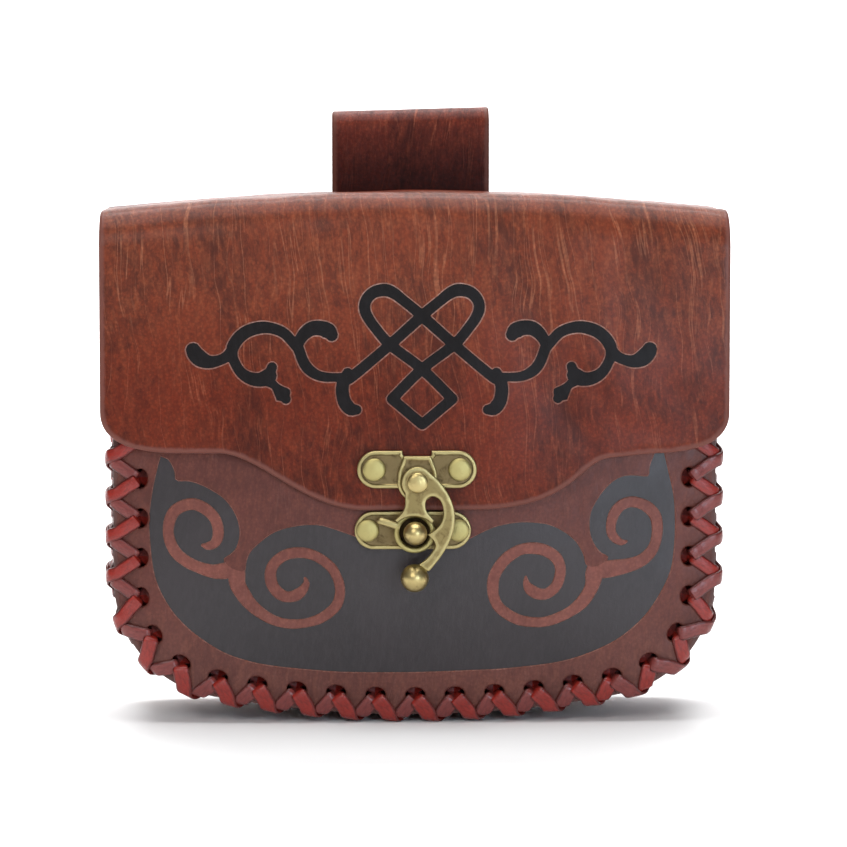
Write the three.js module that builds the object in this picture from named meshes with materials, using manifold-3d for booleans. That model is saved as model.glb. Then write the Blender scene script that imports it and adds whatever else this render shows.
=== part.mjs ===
// A leather belt pouch in millimetres: a back that folds over into a flap, a bulged front,
// a gusset laced between them, a belt loop and a brass swing clasp.
// X runs to the right, Y away from the viewer and Z up. The front faces -Y.
import * as THREE from 'three';
import { mergeVertices } from 'three/addons/utils/BufferGeometryUtils.js';
import Module from 'manifold-3d';

const wasm = await Module();
wasm.setup();

// Leather body
const leather = 2.2;
const gap = 0.3;
const gussetDepth = 36;
const mouthHeight = 106;
const frontHalfWidth = 71.2;
const backHalfWidth = 73.6;
const cornerRadius = 28;
const sagRadius = 256;
const gussetInset = 1;
const panelBulge = 6;

// Lacing
const lacePitch = 9.4;
const laceWidth = 3.3;
const laceThickness = 1.1;
const laceLift = 0.35;
const laceTurn = 0.55;
const laceTail = 0.8;
const holeInsetSide = 6.5;
const holeInsetBottom = 4.8;
const frontRowInset = 10.4;
const backRowInset = 5;
const holeRadius = 1.6;
const pegRadius = 1.1;
const sideHoleDepth = 7.5;

// Flap and its folds
const flapHalfWidth = 74;
const foldTop = 121;
const topArch = 4.2;
const frontFoldRadius = 9;
const backFoldRadius = 8;
const flapLift = 0.4;
const flapCorner = { across: 18, up: 9.5 };
const tabBottom = 51.1;
const ogeeLeft = {
  cornerRise: 13.3,
  shoulderX: 46,
  shoulderRise: 13.3,
  shoulderReach: 9,
  tabX: 12,
  tabReach: 14,
};
const ogeeRight = {
  cornerRise: 13,
  shoulderX: 46.5,
  shoulderRise: 12.1,
  shoulderReach: 8,
  tabX: 14,
  tabReach: 24,
};

// Belt loop
const loopWidth = 38.6;
const loopTop = 145;
const loopFoot = 68;
const loopStrap = 2;
const beltSlot = 6.5;
const loopJoin = 14;
const loopTaper = 8;

// Swing clasp
const seat = 0.1;
const plateThickness = 1.2;
const upperPlate = { width: 28, height: 8.8, x: 0.2, z: 60.8, rivetSpan: 20 };
const catchPlate = { width: 27.4, height: 9, x: -0.7, z: 46.3, rivetSpan: 21.2 };
const notch = { width: 6.6, depth: 1.2 };
const bridgeHeight = 0.9;
const bridgeWaist = 9.4;
const rivet = { headRadius: 2.7, headHeight: 0.9, shankRadius: 1.1 };
const shankPlay = 0.25;
const pivot = { x: 0.3, z: 57.9, headRadius: 2.45, headHeight: 0.8, shankRadius: 1.15 };
const hookThickness = 1.4;
const knobRadius = 3;
const knob = { x: -0.7, drop: 22.3, forward: 0.5 };
const post = { x: -0.65, drop: 11.55, neckRadius: 0.9, ballRadius: 2.75, ballLead: 2.65 };
const cradle = { inner: 3.2, outer: 4.3, height: 3 };
const horn = { width: 1.5, reach: 5, angle: 162 };

// The hook's edge in X and Z from its pivot: round the eye, then down the outer arm to the knob,
// up round the notch and its spur, round the open eye beside the leg and over the cap.
// Angles are in half turns; a row with no bend is a straight edge.
const hookEye = { radius: 3.75, from: 1.22, to: 0.2 };
const hookEdge = [
  { bend: [5.2, 0.6, 8.7, -3.6], end: [8.7, -8] },
  { bend: [8.7, -12.4, 6.6, -16.4], end: [2.6, -20.8] },
  { end: [-0.6, -19.6] },
  { bend: [0.6, -19, 3.2, -17.4], end: [4.2, -14.6] },
  { bend: [3.9, -13.4, 3.1, -12.9], end: [2.3, -12.1] },
  { bend: [4.2, -11.4, 6, -9.4], end: [6, -7] },
  { bend: [6, -4.6, 4.9, -3.2], end: [3.4, -3.2] },
  { bend: [2.1, -3.2, 1.6, -4.6], end: [1.9, -5.8] },
  { bend: [2, -7, 3, -7.7], end: [3.9, -8.8] },
  { end: [3.2, -9.6] },
  { bend: [1.4, -7.4, -3, -7.4], end: [-4.6, -9.3] },
  { end: [-5.4, -8.7] },
  { bend: [-3.9, -7.6, -3, -6.2], end: [-2.9, -4.9] },
];

// Belt loop rivets
const loopRivet = { headRadius: 4, headHeight: 1, shankRadius: 1.5, spread: 11, rise: 7 };

// The dome of every rivet head, as shares of its height and radius
const dome = { rimHeight: 0.45, faceRadius: 0.72, faceHeight: 0.9 };

// How far a sheet runs past the outline that it is cut to
const overhang = 1;

// How finely the bent sheets and round pieces are faceted; a list has a count for each curve
const panelGrid = { columns: 14, rows: 10 };
const flapColumns = 14;
const flapSteps = [2, 1, 4, 3, 5, 8];
const gussetSteps = 44;
const loopSteps = [1, 10, 1, 6, 1];
const outlineSteps = 5;
const roundSides = 12;
const holeSides = 6;
const pegSides = 4;
const ringSides = 16;
const ballRings = 8;

// Depths worked out from the sizes above; more negative is nearer the viewer
const frontFace = -(gussetDepth / 2 + gap + leather);
const backFace = gussetDepth / 2 + gap + leather;
const laceStack = laceTurn + laceThickness;
const panelBottom = laceStack;
const bulgeCentre = (mouthHeight + panelBottom) / 2;
const bulgeHalf = (mouthHeight - panelBottom) / 2;
const flapSideFace = frontFace - laceStack - flapLift - leather;
const flapCrest = frontFace - panelBulge - flapLift - leather;
const flapBulge = flapSideFace - flapCrest;
const flapStraight = foldTop - frontFoldRadius;

const upperSeat = flapCrest - seat;
const catchSeat = frontFace - panelBulge - seat;
const hookBack = upperSeat - plateThickness - bridgeHeight - seat;
const hookFront = hookBack - hookThickness;

// Geometry helpers

function solidFrom(points, triangles) {
  const geometry = new THREE.BufferGeometry();
  const positions = points.flatMap((p) => [p.x, p.y, p.z]);
  geometry.setAttribute('position', new THREE.Float32BufferAttribute(positions, 3));
  geometry.setIndex(triangles.flat());
  return toSolid(geometry);
}

function toSolid(source) {
  let geometry = source.clone();
  for (const name of ['normal', 'uv']) {
    geometry.deleteAttribute(name);
  }
  geometry = mergeVertices(geometry, 1e-4);
  const index = geometry.index.array;
  const kept = [];
  for (let i = 0; i < index.length; i += 3) {
    const [a, b, c] = [index[i], index[i + 1], index[i + 2]];
    if (a !== b && b !== c && c !== a) {
      kept.push(a, b, c);
    }
  }
  const vertices = geometry.attributes.position.array;
  if (signedVolume(vertices, kept) < 0) {
    kept.reverse();
  }
  const mesh = new wasm.Mesh({
    numProp: 3,
    vertProperties: new Float32Array(vertices),
    triVerts: new Uint32Array(kept),
  });
  return new wasm.Manifold(mesh);
}

// Negative when the faces point inwards
function signedVolume(vertices, triangles) {
  const [a, b, c] = [new THREE.Vector3(), new THREE.Vector3(), new THREE.Vector3()];
  let total = 0;
  for (let i = 0; i < triangles.length; i += 3) {
    a.fromArray(vertices, 3 * triangles[i]);
    b.fromArray(vertices, 3 * triangles[i + 1]);
    c.fromArray(vertices, 3 * triangles[i + 2]);
    total += a.dot(b.cross(c)) / 6;
  }
  return total;
}

function toMesh(name, solid, material) {
  const { vertProperties, triVerts, numProp } = solid.getMesh();
  const positions = [];
  for (let i = 0; i < vertProperties.length; i += numProp) {
    positions.push(vertProperties[i], vertProperties[i + 1], vertProperties[i + 2]);
  }
  const geometry = new THREE.BufferGeometry();
  geometry.setAttribute('position', new THREE.Float32BufferAttribute(positions, 3));
  geometry.setIndex([...triVerts]);
  geometry.computeVertexNormals();
  const mesh = new THREE.Mesh(geometry, material);
  mesh.name = name;
  return mesh;
}

function joined(solids) {
  return solids.reduce((whole, next) => whole.add(next));
}

// A plate with the outline of a shape drawn in X and Z, from backY towards the viewer
function plate(shape, backY, thickness) {
  const options = { depth: thickness, bevelEnabled: false, curveSegments: outlineSteps };
  const geometry = new THREE.ExtrudeGeometry(shape, options);
  geometry.rotateX(Math.PI / 2);
  geometry.translate(0, backY, 0);
  return toSolid(geometry);
}

// A round piece about an axis along Y, from a profile of [radius, y]
function turned(profile, x, z, sides = roundSides) {
  const points = profile.map(([radius, y]) => new THREE.Vector2(radius, y));
  const geometry = new THREE.LatheGeometry(points, sides);
  geometry.translate(x, 0, z);
  return toSolid(geometry);
}

// A plain cylinder for turned
function pin(radius, fromY, toY) {
  return [[0, fromY], [radius, fromY], [radius, toY], [0, toY]];
}

function withShankHoles(solid, places, shankRadius, fromY, toY) {
  const profile = pin(shankRadius + shankPlay, fromY, toY);
  return places.reduce((rest, { x, z }) => rest.subtract(turned(profile, x, z)), solid);
}

function rectangle(left, right, low, high) {
  const corners = [[left, low], [right, low], [right, high], [left, high]];
  return new THREE.Shape(corners.map(([x, z]) => new THREE.Vector2(x, z)));
}

function stadium({ width, height, x, z }) {
  const shape = new THREE.Shape();
  const radius = height / 2;
  const reach = width / 2 - radius;
  shape.absarc(x + reach, z, radius, -Math.PI / 2, Math.PI / 2, false);
  shape.absarc(x - reach, z, radius, Math.PI / 2, 1.5 * Math.PI, false);
  shape.closePath();
  return shape;
}

// A closed sheet between an outer and an inner grid of points, with its rim
function sheet(columns, rows, outer, inner) {
  const points = [];
  for (const side of [outer, inner]) {
    for (let r = 0; r <= rows; r += 1) {
      for (let c = 0; c <= columns; c += 1) {
        points.push(side(c / columns, r));
      }
    }
  }
  const at = (layer, c, r) => (layer * (rows + 1) + r) * (columns + 1) + c;
  const triangles = [];
  const quad = (a, b, c, d) => triangles.push([a, b, c], [a, c, d]);
  for (let r = 0; r < rows; r += 1) {
    for (let c = 0; c < columns; c += 1) {
      quad(at(0, c, r), at(0, c + 1, r), at(0, c + 1, r + 1), at(0, c, r + 1));
      quad(at(1, c, r), at(1, c, r + 1), at(1, c + 1, r + 1), at(1, c + 1, r));
    }
    quad(at(0, 0, r), at(0, 0, r + 1), at(1, 0, r + 1), at(1, 0, r));
    quad(at(0, columns, r), at(1, columns, r), at(1, columns, r + 1), at(0, columns, r + 1));
  }
  for (let c = 0; c < columns; c += 1) {
    quad(at(0, c, 0), at(1, c, 0), at(1, c + 1, 0), at(0, c + 1, 0));
    quad(at(0, c, rows), at(0, c + 1, rows), at(1, c + 1, rows), at(1, c, rows));
  }
  return solidFrom(points, triangles);
}

// Points along a path of several curves, with a chosen number of steps on each curve
function stations(path, steps) {
  const lengths = [0, ...path.getCurveLengths()];
  const total = path.getLength();
  const shares = [0];
  steps.forEach((count, k) => {
    for (let j = 1; j <= count; j += 1) {
      shares.push((lengths[k] + ((lengths[k + 1] - lengths[k]) * j) / count) / total);
    }
  });
  return shares.map((share) => stationAt(path, share));
}

function stationAt(path, share) {
  const step = 1e-4;
  const before = path.getPoint(Math.max(0, share - step));
  const after = path.getPoint(Math.min(1, share + step));
  const along = after.clone().sub(before).normalize();
  return { point: path.getPoint(share), left: new THREE.Vector2(-along.y, along.x) };
}

// The outline of the pouch's face in X and Z, from the left of the mouth round to its right:
// straight sides, round lower corners and a long shallow arc between them
function faceLine(halfWidth, bottom, corner, sag, top) {
  const cornerX = halfWidth - corner;
  const sagZ = bottom + sag;
  const cornerZ = sagZ - Math.sqrt((sag - corner) ** 2 - cornerX ** 2);
  const join = Math.atan2(cornerX, sagZ - cornerZ);
  const path = new THREE.Path();
  path.moveTo(-halfWidth, top);
  path.lineTo(-halfWidth, cornerZ);
  path.absarc(-cornerX, cornerZ, corner, Math.PI, 1.5 * Math.PI - join, false);
  path.absarc(0, sagZ, sag, 1.5 * Math.PI - join, 1.5 * Math.PI + join, false);
  path.absarc(cornerX, cornerZ, corner, 1.5 * Math.PI + join, 2 * Math.PI, false);
  path.lineTo(halfWidth, top);
  return path;
}

function insetFaceLine(halfWidth, side, below, top) {
  return faceLine(halfWidth - side, panelBottom + below, cornerRadius - side, sagRadius - side, top);
}

function shapeFrom(path) {
  return new THREE.Shape(path.getPoints(outlineSteps));
}

// Front panel

function frontFaceAt(x, z) {
  const acrossShare = 1 - (x / frontHalfWidth) ** 2;
  const upShare = 1 - ((z - bulgeCentre) / bulgeHalf) ** 2;
  return frontFace - panelBulge * Math.max(0, acrossShare) * Math.max(0, upShare);
}

function bulgedSheet() {
  const { columns, rows } = panelGrid;
  const place = (share, row, back) => {
    const x = (2 * share - 1) * frontHalfWidth;
    const z = panelBottom + ((mouthHeight - panelBottom) * row) / rows;
    return new THREE.Vector3(x, frontFaceAt(x, z) + back, z);
  };
  return sheet(columns, rows, (c, r) => place(c, r, 0), (c, r) => place(c, r, leather));
}

// The row of holes along one laced edge. A place is given in holes, so 2.5 is halfway between
// the holes 2 and 3, with the way out of the pouch there and the distance to the panel's edge.
function lacePlaces({ halfWidth, rowInset }) {
  const line = insetFaceLine(halfWidth, holeInsetSide, holeInsetBottom, mouthHeight - rowInset);
  const count = Math.round(line.getLength() / lacePitch);
  const at = (i) => {
    const { point, left } = stationAt(line, i / count);
    const out = left.clone().negate();
    const inset = THREE.MathUtils.lerp(holeInsetSide, holeInsetBottom, Math.abs(out.y));
    return { point, out, inset };
  };
  return { count, pitch: line.getLength() / count, at };
}

function laceHoles(edge, fromY, toY) {
  const places = lacePlaces(edge);
  const cutters = [];
  for (let i = 0; i <= places.count; i += 1) {
    const { x, y: z } = places.at(i).point;
    cutters.push(turned(pin(holeRadius, fromY, toY), x, z, holeSides));
  }
  return joined(cutters);
}

function claspRivetPlaces({ x, z, rivetSpan }) {
  return [-1, 1].map((side) => ({ x: x + (side * rivetSpan) / 2, z }));
}

function frontPanel() {
  const outline = shapeFrom(insetFaceLine(frontHalfWidth, 0, 0, mouthHeight));
  const nearY = frontFace - panelBulge - leather;
  const farY = frontFace + 2 * leather;
  const cut = bulgedSheet().intersect(plate(outline, farY, farY - nearY));
  const holed = cut.subtract(laceHoles(frontEdge, nearY, farY));
  return withShankHoles(holed, claspRivetPlaces(catchPlate), rivet.shankRadius, nearY, farY);
}

// Gusset: a strap that runs down one side, round the bottom and up the other

function gusset() {
  const frontLine = insetFaceLine(frontHalfWidth, gussetInset, gussetInset, mouthHeight);
  const backLine = insetFaceLine(backHalfWidth, gussetInset, gussetInset, mouthHeight);
  const lines = [frontLine, backLine];
  const place = (share, row, depth) => {
    const [near, far] = lines.map((line) => stationAt(line, row / gussetSteps));
    const point = near.point.clone().lerp(far.point, share);
    point.addScaledVector(near.left, depth);
    return new THREE.Vector3(point.x, (share - 0.5) * gussetDepth, point.y);
  };
  return sheet(1, gussetSteps, (c, r) => place(c, r, 0), (c, r) => place(c, r, leather));
}

// Back and flap: one sheet that rises up the back, folds over the top and hangs down in front

function flapProfile() {
  const path = new THREE.Path();
  path.moveTo(backFace, panelBottom - overhang);
  path.lineTo(backFace, mouthHeight);
  path.lineTo(backFace, foldTop - backFoldRadius);
  path.absarc(backFace - backFoldRadius, foldTop - backFoldRadius, backFoldRadius, 0, Math.PI / 2, false);
  path.lineTo(flapSideFace + frontFoldRadius, foldTop);
  path.absarc(flapSideFace + frontFoldRadius, flapStraight, frontFoldRadius, Math.PI / 2, Math.PI, false);
  path.lineTo(flapSideFace, tabBottom - overhang);
  return path;
}

function flapSag(x, y, z) {
  const acrossShare = 1 - (x / flapHalfWidth) ** 2;
  const rise = THREE.MathUtils.smoothstep(z, mouthHeight, foldTop);
  const inFront = y < frontFace ? 1 : 0;
  const upShare = 1 - THREE.MathUtils.clamp((z - bulgeCentre) / (flapStraight - bulgeCentre), 0, 1) ** 2;
  return { forward: inFront * flapBulge * acrossShare * upShare, up: topArch * acrossShare * rise };
}

function bentSheet() {
  const rows = stations(flapProfile(), flapSteps);
  const place = (share, row, depth) => {
    const x = (2 * share - 1) * flapHalfWidth;
    const { point, left } = rows[row];
    const sag = flapSag(x, point.x, point.y);
    const y = point.x + left.x * depth - sag.forward;
    return new THREE.Vector3(x, y, point.y + left.y * depth + sag.up);
  };
  return sheet(flapColumns, rows.length - 1, (c, r) => place(c, r, 0), (c, r) => place(c, r, leather));
}

function flapOutline() {
  const shape = new THREE.Shape();
  const edgeX = flapHalfWidth + overhang;
  const topZ = foldTop + topArch + overhang;
  const left = {
    x: -ogeeLeft.shoulderX,
    z: tabBottom + ogeeLeft.shoulderRise,
    cornerZ: tabBottom + ogeeLeft.cornerRise,
  };
  const right = {
    x: ogeeRight.shoulderX,
    z: tabBottom + ogeeRight.shoulderRise,
    cornerZ: tabBottom + ogeeRight.cornerRise,
  };
  shape.moveTo(-edgeX, left.cornerZ + flapCorner.up);
  shape.lineTo(-flapHalfWidth, left.cornerZ + flapCorner.up);
  shape.quadraticCurveTo(-flapHalfWidth, left.cornerZ, -flapHalfWidth + flapCorner.across, left.cornerZ);
  shape.lineTo(left.x, left.z);
  shape.bezierCurveTo(left.x + ogeeLeft.shoulderReach, left.z,
    -ogeeLeft.tabX - ogeeLeft.tabReach, tabBottom, -ogeeLeft.tabX, tabBottom);
  shape.lineTo(ogeeRight.tabX, tabBottom);
  shape.bezierCurveTo(ogeeRight.tabX + ogeeRight.tabReach, tabBottom,
    right.x - ogeeRight.shoulderReach, right.z, right.x, right.z);
  shape.lineTo(flapHalfWidth - flapCorner.across, right.cornerZ);
  shape.quadraticCurveTo(flapHalfWidth, right.cornerZ, flapHalfWidth, right.cornerZ + flapCorner.up);
  shape.lineTo(edgeX, right.cornerZ + flapCorner.up);
  shape.lineTo(edgeX, topZ);
  shape.lineTo(-edgeX, topZ);
  shape.closePath();
  return shape;
}

// A block less what lies inside an outline; it cuts a sheet to that outline
function outsideOf(outline, backY, thickness) {
  const wide = flapHalfWidth + 2 * overhang;
  const block = rectangle(-wide, wide, -overhang, foldTop + topArch + 2 * overhang);
  const kept = plate(outline, backY + overhang, thickness + 2 * overhang);
  return plate(block, backY, thickness).subtract(kept);
}

function backAndFlap() {
  const backOutline = shapeFrom(insetFaceLine(backHalfWidth, 0, 0, mouthHeight + overhang));
  const behind = backFace + leather;
  const below = rectangle(-2 * flapHalfWidth, 2 * flapHalfWidth, -2 * overhang, mouthHeight);
  const backTrim = outsideOf(backOutline, behind, behind).intersect(plate(below, behind, behind));
  const frontTrim = outsideOf(flapOutline(), frontFace - gap, frontFace - flapCrest + leather);
  const cut = bentSheet().subtract(backTrim).subtract(frontTrim);
  const [backNear, backFar] = [backFace - leather, backFace + leather];
  const [flapNear, flapFar] = [flapCrest - leather, flapSideFace + leather];
  const holed = cut.subtract(laceHoles(backEdge, backNear, backFar));
  const riveted = withShankHoles(holed, loopRivetPlaces(), loopRivet.shankRadius, backNear, backFar);
  return withShankHoles(riveted, claspRivetPlaces(upperPlate), rivet.shankRadius, flapNear, flapFar);
}

// Lacing: from each hole two flat strands run apart, cross the neighbours' strands over the
// edge and meet again at the gusset's hole, so that the strands form one lattice with an open
// diamond at each hole. A short peg of lace goes down each hole in the panel.

// The two laced edges; toward is -1 where the panel's face looks at the viewer
const frontEdge = {
  halfWidth: frontHalfWidth,
  otherHalfWidth: backHalfWidth,
  face: frontFace,
  faceAt: frontFaceAt,
  toward: -1,
  rowInset: frontRowInset,
};
const backEdge = {
  halfWidth: backHalfWidth,
  otherHalfWidth: frontHalfWidth,
  face: backFace,
  faceAt: () => backFace,
  toward: 1,
  rowInset: backRowInset,
};

function lacedEdge(edge) {
  const { halfWidth, otherHalfWidth, face, faceAt, toward } = edge;
  const places = lacePlaces(edge);
  const { count, pitch } = places;
  const onFace = (i, inward, layer) => {
    const { point, out, inset } = places.at(THREE.MathUtils.clamp(i, 0, count));
    const x = point.x + out.x * (inset - inward);
    const z = point.y + out.y * (inset - inward);
    return new THREE.Vector3(x, faceAt(x, z) + toward * (laceLift + layer * laceThickness), z);
  };
  const beside = (i, depth, proud, layer) => {
    const { point, out, inset } = places.at(THREE.MathUtils.clamp(i, 0, count));
    const reach = inset + proud + layer * laceThickness;
    return new THREE.Vector3(point.x + out.x * reach, face - toward * depth, point.y + out.y * reach);
  };
  const gussetProud = (i, depth) => {
    const { out } = places.at(THREE.MathUtils.clamp(i, 0, count));
    const flare = (otherHalfWidth - halfWidth) * (depth / gussetDepth) * Math.abs(out.x);
    return laceLift - gussetInset + flare;
  };
  const spread = (run) => {
    const angle = Math.atan2(run, pitch / 2);
    return { along: laceWidth / 2 / Math.sin(angle) / pitch, across: laceWidth / 2 / Math.cos(angle) };
  };

  const points = [];
  const index = new Map();
  const vertex = (key, make) => {
    const pair = [0, 1].map((layer) => `${key} ${layer}`);
    pair.forEach((name, layer) => {
      if (!index.has(name)) {
        index.set(name, points.length);
        points.push(make(layer));
      }
    });
    return pair.map((name) => index.get(name));
  };
  const holeNode = (i) => {
    const { inset } = places.at(i);
    const { along, across } = spread(inset);
    const end = inset + laceTail;
    const sideEnd = sideHoleDepth + laceTail;
    const sideSpread = spread(sideHoleDepth);
    const inner = sideHoleDepth - sideSpread.across;
    const innerProud = gussetProud(i, inner) + gussetInset / 2;
    const onSide = (where, k) => beside(where, sideEnd, gussetProud(i, sideEnd), k);
    return {
      apex: vertex(`a${i}`, (k) => onFace(i, inset - across, k)),
      endLeft: vertex(`l${i}`, (k) => onFace(i - along, end, k)),
      endRight: vertex(`r${i}`, (k) => onFace(i + along, end, k)),
      sideApex: vertex(`b${i}`, (k) => beside(i, inner, innerProud, k)),
      sideLeft: vertex(`m${i}`, (k) => onSide(i - sideSpread.along, k)),
      sideRight: vertex(`s${i}`, (k) => onSide(i + sideSpread.along, k)),
    };
  };
  const crossNode = (i) => {
    const middle = i + 0.5;
    const { inset } = places.at(middle);
    const { along, across } = spread(inset);
    const turn = (where, k) => {
      const reach = laceTurn + k * laceThickness;
      return beside(where, -reach, laceTurn, k);
    };
    return {
      left: vertex(`p${i}`, (k) => turn(middle - along, k)),
      right: vertex(`q${i}`, (k) => turn(middle + along, k)),
      near: vertex(`n${i}`, (k) => onFace(middle, across, k)),
      far: vertex(`f${i}`, (k) => beside(middle, spread(sideHoleDepth).across, laceLift, k)),
    };
  };

  // Each flat piece is a polygon of corners; the sides in walls are closed between its layers
  const triangles = [];
  const flat = (corners, walls) => {
    for (let k = 1; k < corners.length - 1; k += 1) {
      triangles.push([corners[0][1], corners[k][1], corners[k + 1][1]]);
      triangles.push([corners[0][0], corners[k + 1][0], corners[k][0]]);
    }
    for (const k of walls) {
      const [a, b] = [corners[k], corners[(k + 1) % corners.length]];
      triangles.push([a[0], b[0], b[1]], [a[0], b[1], a[1]]);
    }
  };
  for (let i = 0; i <= count; i += 1) {
    const node = holeNode(i);
    const faceWalls = [1];
    const sideWalls = [1];
    if (i === 0) {
      faceWalls.push(0);
      sideWalls.push(2);
    }
    if (i === count) {
      faceWalls.push(2);
      sideWalls.push(0);
    }
    flat([node.apex, node.endLeft, node.endRight], faceWalls);
    flat([node.sideApex, node.sideRight, node.sideLeft], sideWalls);
    if (i === count) {
      break;
    }
    const next = holeNode(i + 1);
    const cross = crossNode(i);
    flat([node.apex, node.endRight, cross.near, cross.left], [1, 3]);
    flat([next.apex, cross.right, cross.near, next.endLeft], [0, 2]);
    flat([cross.left, cross.near, cross.right], []);
    flat([cross.left, cross.right, cross.far], []);
    flat([node.sideApex, cross.left, cross.far, node.sideRight], [0, 2]);
    flat([next.sideApex, next.sideLeft, cross.far, cross.right], [1, 3]);
  }
  let solid = solidFrom(points, triangles);
  for (let i = 0; i <= count; i += 1) {
    const { x, y: z } = places.at(i).point;
    const here = faceAt(x, z);
    const ends = [here - toward * leather, here + toward * (laceLift + laceThickness / 2)];
    const [low, high] = ends.sort((a, b) => a - b);
    solid = solid.add(turned(pin(pegRadius, low, high), x, z, pegSides));
  }
  return solid;
}

// Belt loop: one strap folded over at the top, with both ends riveted to the back

function loopRivetPlaces() {
  return [-1, 1].map((side) => ({ x: side * loopRivet.spread, z: loopFoot + loopRivet.rise }));
}

function beltLoop() {
  const nearY = backFace + gap;
  const turnRadius = beltSlot / 2 + loopStrap;
  const turnY = nearY + turnRadius;
  const turnZ = loopTop - turnRadius;
  const footY = nearY + 2 * loopStrap + gap;
  const farY = turnY + turnRadius;
  const joinZ = loopFoot + loopJoin;
  const path = new THREE.Path();
  path.moveTo(nearY, loopFoot);
  path.lineTo(nearY, turnZ);
  path.absarc(turnY, turnZ, turnRadius, Math.PI, 0, true);
  path.lineTo(farY, joinZ + loopTaper);
  path.bezierCurveTo(farY, joinZ + loopTaper / 2, footY, joinZ + loopTaper / 2, footY, joinZ);
  path.lineTo(footY, loopFoot);
  const rows = stations(path, loopSteps);
  const place = (share, row, depth) => {
    const { point, left } = rows[row];
    const x = (share - 0.5) * loopWidth;
    return new THREE.Vector3(x, point.x - left.x * depth, point.y - left.y * depth);
  };
  const strap = sheet(1, rows.length - 1, (c, r) => place(c, r, loopStrap), (c, r) => place(c, r, 0));
  return withShankHoles(strap, loopRivetPlaces(), loopRivet.shankRadius, nearY - gap, footY + gap);
}

// Rivets: a low domed head on a shank; toward is -1 when the head faces the viewer

function rivetSolid({ headRadius, headHeight, shankRadius }, { x, z }, seatY, endY, toward) {
  const height = (share) => seatY + toward * headHeight * share;
  const profile = [
    [0, endY],
    [shankRadius, endY],
    [shankRadius, seatY],
    [headRadius, seatY],
    [headRadius, height(dome.rimHeight)],
    [headRadius * dome.faceRadius, height(dome.faceHeight)],
    [0, height(1)],
  ];
  return turned(toward < 0 ? profile.reverse() : profile, x, z);
}

// Swing clasp

function upperPlateSolid() {
  const half = notch.width / 2;
  const plateTop = upperPlate.z + upperPlate.height / 2;
  const bridgeTop = plateTop - notch.depth;
  const cut = rectangle(pivot.x - half, pivot.x + half, bridgeTop, plateTop + overhang);
  const base = plate(stadium(upperPlate), upperSeat, plateThickness)
    .subtract(plate(cut, upperSeat + overhang, plateThickness + 2 * overhang));
  const raised = new THREE.Shape();
  raised.moveTo(pivot.x - half, bridgeTop);
  raised.lineTo(pivot.x - bridgeWaist / 2, pivot.z);
  raised.absarc(pivot.x, pivot.z, bridgeWaist / 2, Math.PI, 2 * Math.PI, false);
  raised.lineTo(pivot.x + half, bridgeTop);
  raised.closePath();
  const solid = base.add(plate(raised, upperSeat, plateThickness + bridgeHeight));
  const farY = upperSeat + overhang;
  const rivets = claspRivetPlaces(upperPlate);
  const holed = withShankHoles(solid, rivets, rivet.shankRadius, hookFront, farY);
  return withShankHoles(holed, [pivot], pivot.shankRadius, hookFront, upperSeat - seat);
}

function hookOutline() {
  const shape = new THREE.Shape();
  const { radius, from, to } = hookEye;
  shape.absarc(pivot.x, pivot.z, radius, from * Math.PI, to * Math.PI, true);
  for (const { bend, end } of hookEdge) {
    const [x, z] = [pivot.x + end[0], pivot.z + end[1]];
    if (bend) {
      const [nearX, nearZ, farX, farZ] = bend;
      shape.bezierCurveTo(pivot.x + nearX, pivot.z + nearZ, pivot.x + farX, pivot.z + farZ, x, z);
    } else {
      shape.lineTo(x, z);
    }
  }
  shape.closePath();
  return shape;
}

function ball(radius, x, y, z) {
  const geometry = new THREE.SphereGeometry(radius, roundSides, ballRings);
  geometry.rotateX(Math.PI / 2);
  geometry.translate(x, y, z);
  return toSolid(geometry);
}

function swingHook() {
  const knobY = (hookBack + hookFront) / 2 - knob.forward;
  const knobSolid = ball(knobRadius, pivot.x + knob.x, knobY, pivot.z - knob.drop);
  const solid = plate(hookOutline(), hookBack, hookThickness).add(knobSolid);
  return withShankHoles(solid, [pivot], pivot.shankRadius, hookFront - overhang, hookBack + overhang);
}

function catchPlateSolid() {
  const postX = pivot.x + post.x;
  const postZ = pivot.z - post.drop;
  const face = catchSeat - plateThickness;
  const ringTop = face - cradle.height;
  const root = catchSeat - plateThickness / 2;
  const ring = turned([
    [cradle.inner, root],
    [cradle.outer, root],
    [cradle.outer, ringTop],
    [cradle.inner, ringTop],
    [cradle.inner, root],
  ], postX, postZ, ringSides);

  // A straight ridge that runs out from the ring
  const direction = THREE.MathUtils.degToRad(horn.angle);
  const along = new THREE.Vector2(Math.cos(direction), Math.sin(direction));
  const across = new THREE.Vector2(-along.y, along.x).multiplyScalar(horn.width / 2);
  const start = (cradle.inner + cradle.outer) / 2;
  const foot = new THREE.Vector2(postX, postZ).addScaledVector(along, start);
  const tip = foot.clone().addScaledVector(along, horn.reach);
  const ridge = new THREE.Shape([
    foot.clone().add(across),
    tip.clone().add(across),
    tip.clone().sub(across),
    foot.clone().sub(across),
  ]);

  const ballY = hookFront - post.ballLead;
  const solid = joined([
    plate(stadium(catchPlate), catchSeat, plateThickness),
    ring,
    plate(ridge, root, root - ringTop),
    turned(pin(post.neckRadius, ballY, root), postX, postZ),
    ball(post.ballRadius, postX, ballY, postZ),
  ]);
  const [nearY, farY] = [face - plateThickness, catchSeat + overhang];
  return withShankHoles(solid, claspRivetPlaces(catchPlate), rivet.shankRadius, nearY, farY);
}

// Materials

const brown = new THREE.MeshStandardMaterial({ color: 0x7c4434, roughness: 0.55, metalness: 0 });
const laceRed = new THREE.MeshStandardMaterial({ color: 0x6b2a26, roughness: 0.45, metalness: 0 });
const brass = new THREE.MeshStandardMaterial({ color: 0x9c8a5c, roughness: 0.35, metalness: 1 });

// Assembly

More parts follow.
